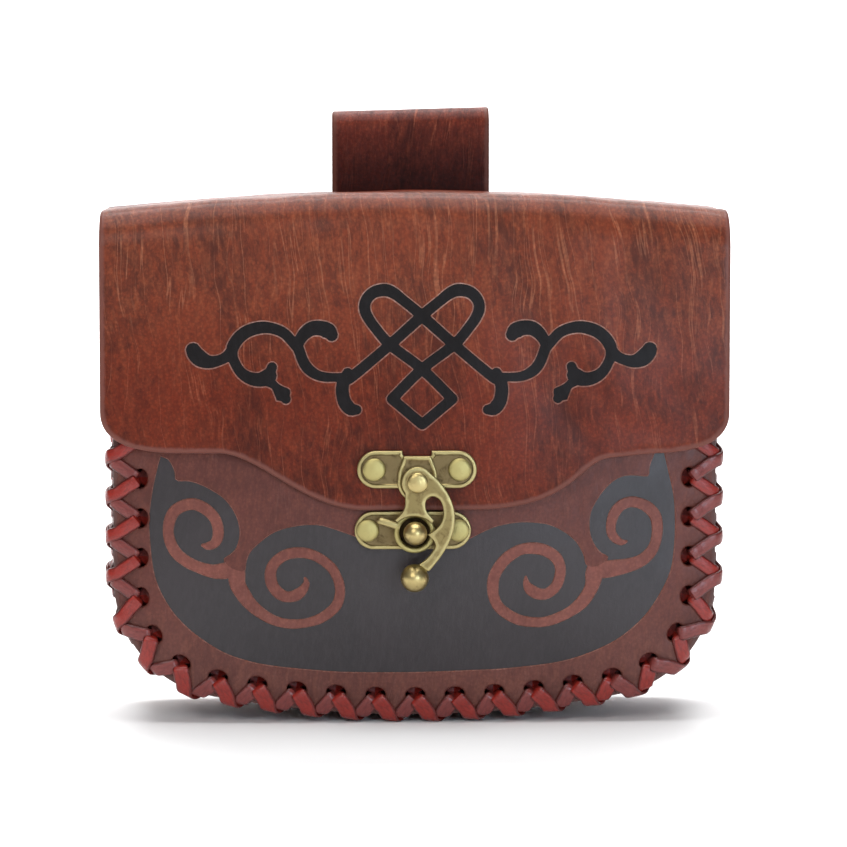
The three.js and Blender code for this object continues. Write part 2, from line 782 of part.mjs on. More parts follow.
const pouch = new THREE.Group();
const add = (name, solid, material) => pouch.add(toMesh(name, solid, material));

add('back_flap', backAndFlap(), brown);
add('front_panel', frontPanel(), brown);
add('gusset', gusset(), brown);
add('belt_loop', beltLoop(), brown);
add('front_lace', lacedEdge(frontEdge), laceRed);
add('back_lace', lacedEdge(backEdge), laceRed);
add('upper_plate', upperPlateSolid(), brass);
add('catch_plate', catchPlateSolid(), brass);
add('swing_hook', swingHook(), brass);
add('pivot_rivet', rivetSolid(pivot, pivot, hookFront - seat, upperSeat - 2 * seat, -1), brass);
const rivetRows = [
  {
    name: 'upper_rivet',
    places: claspRivetPlaces(upperPlate),
    size: rivet,
    seatY: upperSeat - plateThickness - seat,
    endY: flapCrest + leather,
    toward: -1,
  },
  {
    name: 'catch_rivet',
    places: claspRivetPlaces(catchPlate),
    size: rivet,
    seatY: catchSeat - plateThickness - seat,
    endY: frontFace - panelBulge + leather,
    toward: -1,
  },
  {
    name: 'loop_rivet',
    places: loopRivetPlaces(),
    size: loopRivet,
    seatY: backFace + 2 * gap + 2 * loopStrap + seat,
    endY: backFace - leather,
    toward: 1,
  },
];
for (const { name, places, size, seatY, endY, toward } of rivetRows) {
  const [left, right] = places;
  add(`${name}_left`, rivetSolid(size, left, seatY, endY, toward), brass);
  add(`${name}_right`, rivetSolid(size, right, seatY, endY, toward), brass);
}

// The origin is at the middle of the base
const box = new THREE.Box3().setFromObject(pouch);
const middle = box.getCenter(new THREE.Vector3());
pouch.position.set(-middle.x, -middle.y, -box.min.z);

export default pouch;
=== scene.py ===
# A laced leather belt pouch with a painted front and a brass swing clasp.
# Lengths are in millimetres here and become metres as each mesh is made.
import math

import bmesh
import bpy
import numpy as np
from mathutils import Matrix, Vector, kdtree, noise
from mathutils.geometry import delaunay_2d_cdt


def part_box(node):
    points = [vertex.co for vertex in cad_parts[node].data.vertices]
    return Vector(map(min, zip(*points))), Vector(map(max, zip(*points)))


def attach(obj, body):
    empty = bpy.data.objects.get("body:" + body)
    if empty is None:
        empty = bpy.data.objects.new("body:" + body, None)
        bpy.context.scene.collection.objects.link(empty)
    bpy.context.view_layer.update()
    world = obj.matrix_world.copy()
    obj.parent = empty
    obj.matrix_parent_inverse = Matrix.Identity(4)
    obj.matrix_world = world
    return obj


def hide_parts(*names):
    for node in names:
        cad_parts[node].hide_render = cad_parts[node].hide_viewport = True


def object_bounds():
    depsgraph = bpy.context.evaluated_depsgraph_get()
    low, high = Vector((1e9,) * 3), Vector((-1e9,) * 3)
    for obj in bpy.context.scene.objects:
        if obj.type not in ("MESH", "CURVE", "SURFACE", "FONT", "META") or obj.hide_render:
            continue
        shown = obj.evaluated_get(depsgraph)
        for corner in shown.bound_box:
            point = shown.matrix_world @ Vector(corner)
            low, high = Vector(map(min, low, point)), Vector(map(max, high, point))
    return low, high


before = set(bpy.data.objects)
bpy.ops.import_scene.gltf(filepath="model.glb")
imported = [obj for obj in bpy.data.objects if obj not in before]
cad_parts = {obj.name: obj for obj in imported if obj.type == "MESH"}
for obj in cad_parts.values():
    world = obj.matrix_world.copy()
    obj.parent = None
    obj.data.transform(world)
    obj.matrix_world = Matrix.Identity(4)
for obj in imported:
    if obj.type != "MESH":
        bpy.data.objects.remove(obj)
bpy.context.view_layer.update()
gussetLow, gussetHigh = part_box("gusset")
forward = 500 * (gussetLow.y + gussetHigh.y)  # the frame's y is the drawing's plus this, mm
print("frame loaded, shift", round(forward, 3))

# Sizes shared by several pieces
leather = 2.2
gap = 0.3
gussetDepth = 36
mouth = 106
frontHalf = 71.2
backHalf = 73.6
panelBottom = 1.65
cornerRadius = 28
sagRadius = 256
frontFace = -(gussetDepth / 2 + gap + leather)
backFace = -frontFace
bulge = 6
bulgeCentre = (mouth + panelBottom) / 2
bulgeHalf = (mouth - panelBottom) / 2


# Small maths

def ramp(value, low, high):
    share = np.clip((value - low) / (high - low), 0, 1)
    return share * share * (3 - 2 * share)


def lengthsAlong(line):
    # how far along a line each of its points is
    return np.concatenate([[0], np.cumsum(np.linalg.norm(np.diff(line, axis=0), axis=1))])


def pointsAt(line, run, at):
    return np.stack([np.interp(at, run, line[:, k]) for k in range(line.shape[1])], axis=-1)


def wayAt(line, run, at, reach):
    # the direction of a line, from the points a short way behind and ahead
    ahead = pointsAt(line, run, np.minimum(at + reach, run[-1]))
    behind = pointsAt(line, run, np.maximum(at - reach, 0))
    return (ahead - behind) / np.linalg.norm(ahead - behind, axis=-1, keepdims=True)


def bezier(a, b, c, d, count):
    # the points of a curve after its start
    a, b, c, d = (np.array(p) for p in (a, b, c, d))
    rows = []
    for t in np.linspace(0, 1, count)[1:]:
        s = 1 - t
        rows.append(tuple(s ** 3 * a + 3 * s * s * t * b + 3 * s * t * t * c + t ** 3 * d))
    return rows


def spline(points, step):
    # a smooth line through rows of numbers, spaced by their first two columns
    rows = np.array(points, float)
    padded = np.vstack([2 * rows[0] - rows[1], rows, 2 * rows[-1] - rows[-2]])
    out = [rows[0]]
    for k in range(1, len(padded) - 2):
        a, b, c, d = padded[k - 1:k + 3]
        span = np.linalg.norm(c[:2] - b[:2])
        count = max(1, int(math.ceil(span / step)))
        for j in range(1, count + 1):
            t = j / count
            out.append(0.5 * (2 * b + (c - a) * t + (2 * a - 5 * b + 4 * c - d) * t * t
                              + (3 * b - a - 3 * c + d) * t ** 3))
    return np.array(out)


def evenly(line, step, closed=False):
    line = np.array(line, float)
    if closed:
        line = np.vstack([line, line[:1]])
    run = lengthsAlong(line)
    count = max(3, int(round(run[-1] / step)))
    out = pointsAt(line, run, np.linspace(0, run[-1], count + 1))
    return out[:-1] if closed else out


def counterClockwise(loop):
    x, y = loop[:, 0], loop[:, 1]
    area = np.sum(x * np.roll(y, -1) - y * np.roll(x, -1))
    return loop if area > 0 else loop[::-1]


def shifted(loop, inwards):
    # a closed counterclockwise loop moved to its left
    before = loop - np.roll(loop, 1, axis=0)
    after = np.roll(loop, -1, axis=0) - loop
    before /= np.linalg.norm(before, axis=1)[:, None]
    after /= np.linalg.norm(after, axis=1)[:, None]
    along = before + after
    along /= np.linalg.norm(along, axis=1)[:, None] + 1e-9
    left = np.stack([-along[:, 1], along[:, 0]], axis=1)
    return loop + left * inwards


def windings(points, loop):
    # how many times a loop goes round each point
    total = np.zeros(len(points), int)
    x, y = points[:, 0], points[:, 1]
    for a, b in zip(loop, np.roll(loop, -1, axis=0)):
        side = (b[0] - a[0]) * (y - a[1]) - (x - a[0]) * (b[1] - a[1])
        total += ((a[1] <= y) & (b[1] > y) & (side > 0)).astype(int)
        total -= ((a[1] > y) & (b[1] <= y) & (side < 0)).astype(int)
    return total


def inAny(points, loops):
    inside = np.zeros(len(points), bool)
    for loop in loops:
        low, high = loop.min(axis=0), loop.max(axis=0)
        near = np.all((points >= low) & (points <= high), axis=1)
        if near.any():
            inside[near] |= windings(points[near], loop) != 0
    return inside


def circle(x, z, radius, count=14, stretch=1.0, turn=0.0):
    angles = np.arange(count) * 2 * math.pi / count
    across, along = radius * np.cos(angles), radius * stretch * np.sin(angles)
    c, s = math.cos(turn), math.sin(turn)
    return np.stack([x + c * across - s * along, z + s * across + c * along], axis=1)


def brushStroke(rows, step=0.7):
    # the outline of a stroke from rows of x, z and width
    line = spline(rows, step)
    along = np.gradient(line[:, :2], axis=0)
    along /= np.linalg.norm(along, axis=1)[:, None] + 1e-9
    left = np.stack([-along[:, 1], along[:, 0]], axis=1) * line[:, 2:3] / 2
    near, far = line[:, :2] + left, line[:, :2] - left
    caps = []
    for place, way, width in ((line[-1], along[-1], line[-1, 2]), (line[0], -along[0], line[0, 2])):
        turn = math.atan2(way[1], way[0])
        angles = turn + math.pi * (0.5 - np.arange(1, 6) / 6)
        caps.append(place[:2] + width / 2 * np.stack([np.cos(angles), np.sin(angles)], axis=1))
    return np.vstack([near, caps[0], far[::-1], caps[1]])


# Meshes

def newPiece(name, part, body, materials, stands, sharp=38):
    # a part is its points, its faces, each face's material and the marks that the materials read
    points, faces, kinds, marks = part
    mesh = bpy.data.meshes.new(name)
    moved = [(0.001 * x, 0.001 * (y + forward), 0.001 * z) for x, y, z in points]
    mesh.from_pydata(moved, [], [tuple(int(i) for i in face) for face in faces])
    mesh.polygons.foreach_set("material_index", [int(kind) for kind in kinds])
    for label, values in marks.items():
        values = np.array(values, float)
        kind = "FLOAT" if values.ndim == 1 else "FLOAT_VECTOR"
        layer = mesh.attributes.new(label, kind, "POINT")
        layer.data.foreach_set("value" if values.ndim == 1 else "vector", values.ravel())
    work = bmesh.new()
    work.from_mesh(mesh)
    bmesh.ops.recalc_face_normals(work, faces=work.faces)
    work.to_mesh(mesh)
    work.free()
    mesh.shade_smooth()
    mesh.set_sharp_from_angle(angle=math.radians(sharp))
    piece = bpy.data.objects.new(name, mesh)
    bpy.context.scene.collection.objects.link(piece)
    for material in materials:
        mesh.materials.append(material)
    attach(piece, body)
    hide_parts(*stands)
    print("made", name, len(mesh.polygons), "faces")


def distances(points, others):
    # from each point to the nearest of the others
    tree = kdtree.KDTree(len(others))
    for k, (x, y) in enumerate(others):
        tree.insert((x, y, 0), k)
    tree.balance()
    return np.array([tree.find((x, y, 0))[2] for x, y in points])


def fillOutline(rings, loops, spacing):
    # Even triangles inside the first ring and outside the others, with the loops' lines kept.
    # The last result gives a ring's or loop's point its number in the mesh.
    fixed = np.vstack(rings + loops)
    low, high = fixed.min(axis=0), fixed.max(axis=0)
    rows = []
    for k, up in enumerate(np.arange(low[1], high[1], spacing * 0.866)):  # rows of even triangles
        start = low[0] + (k % 2) * spacing / 2
        across = np.arange(start, high[0], spacing)
        rows.append(np.stack([across, np.full(len(across), up)], axis=1))
    grid = np.vstack(rows)
    grid = grid[(windings(grid, rings[0]) != 0) & ~inAny(grid, rings[1:])]
    grid = grid[distances(grid, fixed) > spacing * 0.55]
    lines = []
    start = 0
    for loop in rings + loops:
        count = len(loop)
        lines += [(start + k, start + (k + 1) % count) for k in range(count)]
        start += count
    flat, _, faces, origins, _, _ = delaunay_2d_cdt(
        [Vector((x, y)) for x, y in np.vstack([fixed, grid])], lines, [], 0, 1e-4, True)
    flat = np.array([(p.x, p.y) for p in flat])
    faces = np.array([face for face in faces if len(face) == 3])
    middles = flat[faces].mean(axis=1)
    faces = faces[(windings(middles, rings[0]) != 0) & ~inAny(middles, rings[1:])]
    newIndex = {source: k for k, old in enumerate(origins) for source in old}
    return flat, faces, newIndex


def paintBorder(flat, faces, dark):
    # the edges between painted and bare faces, and the way into the paint at each point
    lean = np.zeros((len(flat), 2))
    owners = {}
    for n, (a, b, c) in enumerate(faces):
        for pair in ((a, b), (b, c), (c, a)):
            owners[pair] = n
    border = []
    for (a, b), n in owners.items():
        other = owners.get((b, a))
        if dark[n] and other is not None and not dark[other]:
            border.append((a, b))
            way = flat[b] - flat[a]
            way = np.array([-way[1], way[0]]) / (np.linalg.norm(way) + 1e-9)
            lean[a] += way
            lean[b] += way
    return border, lean / (np.linalg.norm(lean, axis=1)[:, None] + 1e-9)


def cutSheet(outline, holes, place, thickness, look, paint=None):
    # A sheet cut to an outline, with holes, rounded edges and sunken painted areas.
    # place(across, up, depth) puts flat points in the drawing; depth is under the face.
    # A look has the edge's rounding, the mesh's spacing and how deep and sloped the paint's edge is.
    rim = look["rim"]
    outline = counterClockwise(outline)
    holes = [counterClockwise(hole) for hole in holes]
    rings = [shifted(outline, rim)] + [shifted(hole, -rim) for hole in holes]
    edges = [outline] + holes
    flat, faces, newIndex = fillOutline(rings, paint["loops"] if paint else [], look["spacing"])
    dark = paint["inside"](flat[faces].mean(axis=1)) if paint else np.zeros(len(faces), bool)
    border, lean = paintBorder(flat, faces, dark)
    lowered = flat + lean * look.get("slope", 0)

    spots, depths, reach = [], [], []

    def layer(places, depth, distance):
        first = sum(len(part) for part in spots)
        spots.append(places)
        depths.append(np.broadcast_to(depth, len(places)))
        reach.append(np.broadcast_to(distance, len(places)))
        return first

    fromEdge = distances(flat, outline)
    top = layer(flat, 0, fromEdge)
    sunk = layer(lowered, look.get("sink", 0), fromEdge)
    under = layer(flat, thickness, fromEdge)
    whole, kinds = [], []
    for n, (a, b, c) in enumerate(faces):
        base = sunk if dark[n] else top
        whole.append((base + a, base + b, base + c))
        kinds.append(1 if dark[n] else 0)
        whole.append((under + c, under + b, under + a))
        kinds.append(0)
    for a, b in border:
        whole.append((top + b, top + a, sunk + a, sunk + b))
        kinds.append(2)
    # the edge rounds over a quarter turn, goes straight down and rounds back; shares are of the rim
    bends = [(1, 0), (0.62, 0.08), (0.3, 0.3), (0.08, 0.62), (0, 1)]
    steps = bends[1:] + [(share, thickness / rim - depth) for share, depth in bends[:0:-1]]
    start = 0
    for ring, edge in zip(rings, edges):
        way = (ring - edge) / rim
        size = len(ring)
        upper = [newIndex[start + k] for k in range(size)]
        chains = [[top + k for k in upper]]
        for share, depth in steps:
            distance = share * rim if edge is outline else 3  # a hole's edge isn't worn pale
            first = layer(edge + way * rim * share, depth * rim, distance)
            chains.append([first + k for k in range(size)])
        chains.append([under + k for k in upper])
        for one, two in zip(chains, chains[1:]):
            for k in range(size):
                j = (k + 1) % size
                whole.append((one[k], two[k], two[j], one[j]))
                kinds.append(0)
        start += size
    spots = np.vstack(spots)
    depths = np.concatenate(depths)
    solid = place(spots[:, 0], spots[:, 1], depths)
    marks = {"flat": np.column_stack([spots, depths]), "edge": np.concatenate(reach)}
    used = sorted({i for face in whole for i in face})
    lookup = {old: new for new, old in enumerate(used)}
    whole = [tuple(lookup[i] for i in face) for face in whole]
    marks = {label: values[used] for label, values in marks.items()}
    return solid[used], whole, kinds, marks


def joinParts(parts):
    # several (points, faces, kinds, marks) as one
    points, faces, kinds = [], [], []
    marks = {label: [] for label in parts[0][3]}
    start = 0
    for somePoints, someFaces, someKinds, someMarks in parts:
        points.append(np.array(somePoints, float))
        faces += [tuple(i + start for i in face) for face in someFaces]
        kinds += list(someKinds)
        for label in marks:
            marks[label].append(np.array(someMarks[label], float))
        start += len(somePoints)
    return np.vstack(points), faces, kinds, {label: np.concatenate(v) for label, v in marks.items()}


def turned(profile, x, z, sides=40, kind=0):
    # a round part about an axis along y, from rows of radius and y
    points, faces = [], []
    rings = []
    for radius, y in profile:
        if radius < 1e-6:
            rings.append([len(points)])
            points.append((x, y, z))
        else:
            rings.append(list(range(len(points), len(points) + sides)))
            angles = [2 * math.pi * k / sides for k in range(sides)]
            points += [(x + radius * math.cos(a), y, z + radius * math.sin(a)) for a in angles]
    for one, two in zip(rings, rings[1:]):
        for k in range(sides):
            j = (k + 1) % sides
            if len(one) == 1:
                faces.append((one[0], two[k], two[j]))
            elif len(two) == 1:
                faces.append((one[k], two[0], one[j]))
            else:
                faces.append((one[k], two[k], two[j], one[j]))
    flat = [(p[0] - x, p[2] - z, p[1]) for p in points]
    reach = [math.hypot(p[0] - x, p[2] - z) for p in points]
    return points, faces, [kind] * len(faces), {"flat": flat, "edge": reach}


def ribbon(centres, widths, thicknesses, sides, kind=0, tag=0.0, count=12):
    # a strap along a line; sides gives the way across it at each point
    centres = np.array(centres, float)
    along = np.gradient(centres, axis=0)
    along /= np.linalg.norm(along, axis=1)[:, None]
    points, flat = [], []
    angles = [2 * math.pi * k / count for k in range(count)]
    squareness = (0.55, 0.8)  # below 1 the section is fuller than an ellipse
    section = [(math.copysign(abs(math.cos(a)) ** squareness[0], math.cos(a)),
                math.copysign(abs(math.sin(a)) ** squareness[1], math.sin(a))) for a in angles]
    run = 0
    for k, centre in enumerate(centres):
        if k:
            run += np.linalg.norm(centre - centres[k - 1])
        across = np.array(sides[k], float)
        across -= along[k] * across.dot(along[k])
        across /= np.linalg.norm(across)
        up = np.cross(along[k], across)
        for s, t in section:
            points.append(centre + across * s * widths[k] / 2 + up * t * thicknesses[k] / 2)
            flat.append((s * widths[k] / 2, run, tag))
    faces = []
    for k in range(len(centres) - 1):
        for j in range(count):
            i = (j + 1) % count
            faces.append((k * count + j, (k + 1) * count + j, (k + 1) * count + i, k * count + i))
    last = (len(centres) - 1) * count
    faces.append(tuple(range(count - 1, -1, -1)))
    faces.append(tuple(last + j for j in range(count)))
    reach = [widths[k // count] / 2 - abs(f[0]) for k, f in enumerate(flat)]
    return points, faces, [kind] * len(faces), {"flat": flat, "edge": reach}


# Shader helpers

def feed(tree, node, inputs):
    for key, value in inputs.items():
        if isinstance(value, bpy.types.NodeSocket):
            tree.links.new(value, node.inputs[key])
        else:
            node.inputs[key].default_value = value
    return node


def put(tree, kind, inputs=None, **settings):
    node = tree.nodes.new("ShaderNode" + kind)
    for key, value in settings.items():
        setattr(node, key, value)
    return feed(tree, node, inputs or {})


def mixed(tree, factor, one, two, mode="MIX"):
    node = put(tree, "Mix", {0: factor, 6: one, 7: two}, data_type="RGBA", blend_type=mode)
    return node.outputs[2]


def calc(tree, operation, one, two=0.0):
    return put(tree, "Math", {0: one, 1: two}, operation=operation).outputs[0]


def coated(tree, mask, amount, under, over):
    # one colour over another where a mask is, up to an amount
    return mixed(tree, calc(tree, "MULTIPLY", mask, amount), under, over)


def stretched(tree, place, amounts):
    return put(tree, "VectorMath", {0: place, 1: amounts}, operation="MULTIPLY").outputs[0]


def noisy(tree, place, scale, **rows):
    names = {"detail": "Detail", "rough": "Roughness", "warp": "Distortion"}
    inputs = {names[key]: value for key, value in rows.items()}
    return put(tree, "TexNoise", {"Vector": place, "Scale": scale, **inputs}).outputs


def spread(tree, value, low, high, toLow=0.0, toHigh=1.0):
    rows = {"Value": value, "From Min": low, "From Max": high, "To Min": toLow, "To Max": toHigh}
    return put(tree, "MapRange", rows, interpolation_type="SMOOTHSTEP").outputs[0]


def colour(red, green, blue):
    # from 0-255 screen values
    rows = [v / 255 for v in (red, green, blue)]
    return tuple(v / 12.92 if v <= 0.04045 else ((v + 0.055) / 1.055) ** 2.4 for v in rows) + (1.0,)


def newGroup(name, inputs, outputs):
    tree = bpy.data.node_groups.new(name, "ShaderNodeTree")
    for label, kind, value in inputs:
        socket = tree.interface.new_socket(label, in_out="INPUT", socket_type="NodeSocket" + kind)
        if value is not None:
            socket.default_value = value
    for label, kind in outputs:
        tree.interface.new_socket(label, in_out="OUTPUT", socket_type="NodeSocket" + kind)
    entry = tree.nodes.new("NodeGroupInput")
    leave = tree.nodes.new("NodeGroupOutput")
    return tree, entry.outputs, leave.inputs


def useGroup(tree, group, inputs):
    return put(tree, "Group", inputs, node_tree=group).outputs


# Hide: dark streaks along the sheet, cloudy patches, thin light veins and a fine pebbled grain
def hideGroup():
    look = {
        "lean": 0.1,                          # sideways for each mm up the sheet
        "streakStretch": (1.0, 0.3, 1.0), "streakRange": (0.42, 0.66),
        "cloudStretch": (1.0, 0.55, 1.0), "cloudRange": (0.43, 0.60),
        "broadScale": 0.05, "mottleScale": 0.5,
        "fineScale": 3.0, "pebbleShare": 0.7, "fineShare": 0.5,
        "wanderScale": 0.035, "wander": 9.0,  # mm sideways
        "fadeScale": 0.12,
        # each kind of vein: its stretch, its thickness, and where the fading noise shows it
        "veins": ((0.035, 0.011, (0.40, 0.55)), (0.08, 0.013, (0.42, 0.56, 0.45, 0.0))),
    }
    tree, given, result = newGroup(
        "hide",
        [("Place", "Vector", None), ("Streak Scale", "Float", 0.35), ("Grain Scale", "Float", 1.6),
         ("Vein Scale", "Float", 0.2)],
        [("Streaks", "Float"), ("Clouds", "Float"), ("Grain", "Float"), ("Veins", "Float")])
    parted = put(tree, "SeparateXYZ", {0: given["Place"]}).outputs
    leaning = calc(tree, "SUBTRACT", parted[0], calc(tree, "MULTIPLY", parted[1], look["lean"]))
    slanted = put(tree, "CombineXYZ", {0: leaning, 1: parted[1], 2: 0.0}).outputs[0]
    streak = noisy(tree, stretched(tree, slanted, look["streakStretch"]), given["Streak Scale"],
                   detail=6.0, rough=0.7, warp=0.3)
    tree.links.new(spread(tree, streak[0], *look["streakRange"]), result["Streaks"])
    squat = stretched(tree, slanted, look["cloudStretch"])
    broad = noisy(tree, squat, look["broadScale"], detail=4.0, rough=0.55, warp=0.8)
    mottle = noisy(tree, squat, look["mottleScale"], detail=6.0, rough=0.8, warp=0.5)
    both = calc(tree, "ADD", calc(tree, "MULTIPLY", broad[0], 0.5), calc(tree, "MULTIPLY", mottle[0], 0.5))
    tree.links.new(spread(tree, both, *look["cloudRange"]), result["Clouds"])
    pebble = put(tree, "TexVoronoi", {"Vector": given["Place"], "Scale": given["Grain Scale"]},
                 feature="SMOOTH_F1")
    fine = noisy(tree, given["Place"], look["fineScale"], detail=3.0)
    grain = calc(tree, "ADD", calc(tree, "MULTIPLY", pebble.outputs[0], look["pebbleShare"]),
                 calc(tree, "MULTIPLY", fine[0], look["fineShare"]))
    tree.links.new(grain, result["Grain"])

    # a vein runs wherever a slow noise passes its middle value
    wander = noisy(tree, slanted, look["wanderScale"], detail=2.0)
    push = stretched(tree, wander[1], (look["wander"], 0.0, 0.0))
    bent = put(tree, "VectorMath", {0: slanted, 1: push}, operation="ADD").outputs[0]
    fade = noisy(tree, squat, look["fadeScale"], detail=3.0)[0]
    veins = []
    for stretch, thick, shown in look["veins"]:
        slow = noisy(tree, stretched(tree, bent, (1.0, stretch, 0.0)), given["Vein Scale"],
                     detail=3.0, rough=0.6)
        off = calc(tree, "ABSOLUTE", calc(tree, "SUBTRACT", slow[0], 0.5))
        line = spread(tree, off, 0.0, thick, 1.0, 0.0)
        veins.append(calc(tree, "MULTIPLY", line, spread(tree, fade, *shown)))
    tree.links.new(calc(tree, "MAXIMUM", *veins), result["Veins"])
    return tree


# Edge mask: 1 on the rim, fading over a ragged width. It lays brass edges that are partly rubbed and partly
# a painted highlight, a leather rim that on the flap is partly a painted highlight, and the lace's darker
# edge
def rimGroup():
    tree, given, result = newGroup(
        "rimFadeGroup",
        [("Place", "Vector", None), ("Distance", "Float", 5.0), ("Width", "Float", 1.2)],
        [("Mask", "Float")])
    rag = noisy(tree, given["Place"], 0.5, detail=3.0)
    wander = calc(tree, "MULTIPLY", calc(tree, "SUBTRACT", rag[0], 0.5), 0.9)
    share = calc(tree, "DIVIDE", calc(tree, "ADD", given["Distance"], wander), given["Width"])
    tree.links.new(spread(tree, share, 0.55, 1.25, 1.0, 0.0), result["Mask"])
    return tree


# Tarnish: dark film left in patches, and fine cast texture
def tarnishGroup():
    tree, given, result = newGroup(
        "tarnish",
        [("Place", "Vector", None), ("Amount", "Float", 0.5)],
        [("Mask", "Float"), ("Height", "Float")])
    patch = noisy(tree, given["Place"], 0.45, detail=6.0, rough=0.7, warp=0.6)
    limit = calc(tree, "SUBTRACT", 0.85, calc(tree, "MULTIPLY", given["Amount"], 0.5))
    share = calc(tree, "SUBTRACT", patch[0], limit)
    tree.links.new(spread(tree, share, -0.12, 0.16), result["Mask"])
    cast = noisy(tree, given["Place"], 2.2, detail=5.0, rough=0.65)
    tree.links.new(cast[0], result["Height"])
    return tree


hide = hideGroup()
rimFadeGroup = rimGroup()
tarnish = tarnishGroup()


def newMaterial(name):
    # with its shader and each point's place on the flat sheet
    material = bpy.data.materials.new(name)
    material.use_nodes = True
    tree = material.node_tree
    place = put(tree, "Attribute", attribute_name="flat").outputs["Vector"]
    return material, tree, tree.nodes["Principled BSDF"], place


def rimFade(tree, place, width):
    distance = put(tree, "Attribute", attribute_name="edge").outputs["Fac"]
    return useGroup(tree, rimFadeGroup, {"Place": place, "Distance": distance, "Width": width})["Mask"]


def surface(tree, shader, base, rough, height, strength, depth):
    tree.links.new(base, shader.inputs["Base Color"])
    tree.links.new(rough, shader.inputs["Roughness"])
    bump = put(tree, "Bump", {"Height": height, "Strength": strength, "Distance": depth})
    tree.links.new(bump.outputs[0], shader.inputs["Normal"])


def leatherMaterial(name, look):
    material, tree, shader, place = newMaterial(name)
    skin = useGroup(tree, hide, {"Place": place, "Streak Scale": look["streakScale"],
                                 "Grain Scale": look["grainScale"], "Vein Scale": look["veinScale"]})
    base = coated(tree, skin["Clouds"], look["clouds"], look["base"], look["dark"])
    base = coated(tree, skin["Streaks"], look["streaks"], base, look["warm"])
    base = coated(tree, skin["Veins"], look["veins"], base, look["pale"])
    base = coated(tree, spread(tree, skin["Grain"], 0.25, 0.75), look["pits"], base, look["dark"])
    # painted light: the colour is paler or deeper over one band of the sheet; a painted highlight and sheen
    # on the flap's top, a painted sheen low on the front panel, painted shade on the belt loop where it
    # goes down behind the flap
    up = put(tree, "SeparateXYZ", {0: place}).outputs[1]
    rise, fall = look["paintedLightBand"]
    share = calc(tree, "MINIMUM", spread(tree, up, *rise), spread(tree, up, *fall, 1.0, 0.0))
    base = mixed(tree, share, base, look["tint"], "MULTIPLY")
    # the rim colour along the edge: a burnished edge, and on the flap also a painted highlight
    base = coated(tree, rimFade(tree, place, look["rimWidth"]), look["rim"], base, look["rimColour"])
    rough = spread(tree, skin["Clouds"], 0, 1, look["roughness"] - 0.05, look["roughness"] + 0.08)
    height = calc(tree, "ADD", calc(tree, "MULTIPLY", skin["Grain"], 0.35),
                  calc(tree, "MULTIPLY", skin["Veins"], 0.25))
    height = calc(tree, "ADD", height, calc(tree, "MULTIPLY", skin["Streaks"], 0.25))
    surface(tree, shader, base, rough, height, look["bump"], 0.0004)
    shader.inputs["Specular IOR Level"].default_value = look["gloss"]
    shader.inputs["Coat Weight"].default_value = look["wax"]
    shader.inputs["Coat Roughness"].default_value = 0.31
    return material


flapLook = {
    "base": colour(110, 43, 26), "dark": colour(60, 26, 20), "warm": colour(131, 60, 37),
    # rimColour on the flap is a burnished edge with a painted highlight along it
    "pale": colour(158, 86, 60), "rimColour": colour(112, 70, 62),
    "streakScale": 0.6, "grainScale": 1.5, "veinScale": 0.17, "rimWidth": 1.3,
    "streaks": 0.45, "clouds": 0.85, "veins": 0.5, "pits": 0.45, "rim": 0.85,
    "roughness": 0.42, "bump": 0.5, "wax": 0.2, "gloss": 0.02,
    # paintedLightBand and tint: a painted highlight and sheen, paler over the folds and the top of the flap
    "paintedLightBand": ((125, 150), (172, 205)), "tint": (1.3, 1.75, 1.85, 1.0),
}
frontLook = dict(
    flapLook, base=colour(99, 52, 44), dark=colour(72, 35, 30), warm=colour(118, 64, 50),
    pale=colour(132, 84, 72), rimColour=colour(88, 62, 58), streaks=0.45, clouds=0.6, veins=0.15,
    # paintedLightBand and tint: a painted sheen, paler low on the front panel
    rimWidth=1.0, wax=0.12, gloss=0.2, paintedLightBand=((-10, -5), (12, 34)), tint=(1.15, 1.35, 1.4, 1.0))
# the leather bands keep the front panel's painted sheen low down
bandLook = dict(frontLook, base=colour(126, 72, 62), warm=colour(138, 80, 66), dark=colour(88, 46, 40))
sideLook = dict(
    flapLook, base=colour(86, 42, 35), dark=colour(60, 30, 27), warm=colour(96, 48, 38),
    pale=colour(112, 66, 56), rimColour=colour(66, 44, 42), veins=0.2, tint=(1.0, 1.0, 1.0, 1.0))
loopLook = dict(
    flapLook, base=colour(108, 42, 28), warm=colour(132, 60, 40), dark=colour(60, 24, 20),
    rimColour=colour(96, 56, 46), streaks=0.6, veins=0.6, gloss=0.06, wax=0.08,
    # paintedLightBand and tint: painted shade, darker low on the near strap where it goes down behind the
    # flap
    paintedLightBand=((-30, -20), (58, 77)), tint=(0.28, 0.2, 0.2, 1.0))
# the cut walls keep the flap's painted highlight band and tint
cutLook = dict(flapLook, base=colour(158, 112, 100), clouds=0.3, rim=0.0)


def paintMaterial(name, look):
    material, tree, shader, place = newMaterial(name)
    skin = useGroup(tree, hide, {"Place": place, "Streak Scale": 0.9, "Grain Scale": 1.4,
                                 "Vein Scale": 0.3})
    base = coated(tree, skin["Clouds"], 0.5, look["base"], look["dark"])
    base = coated(tree, skin["Streaks"], 0.3, base, look["pale"])
    rough = spread(tree, skin["Clouds"], 0, 1, look["roughness"] - 0.06, look["roughness"] + 0.08)
    height = calc(tree, "ADD", calc(tree, "MULTIPLY", skin["Grain"], 0.6),
                  calc(tree, "MULTIPLY", skin["Streaks"], 0.4))
    surface(tree, shader, base, rough, height, 0.3, 0.0003)
    shader.inputs["Specular IOR Level"].default_value = look["shine"]
    shader.inputs["Coat Weight"].default_value = look["gloss"]
    shader.inputs["Coat Roughness"].default_value = 0.3
    return material


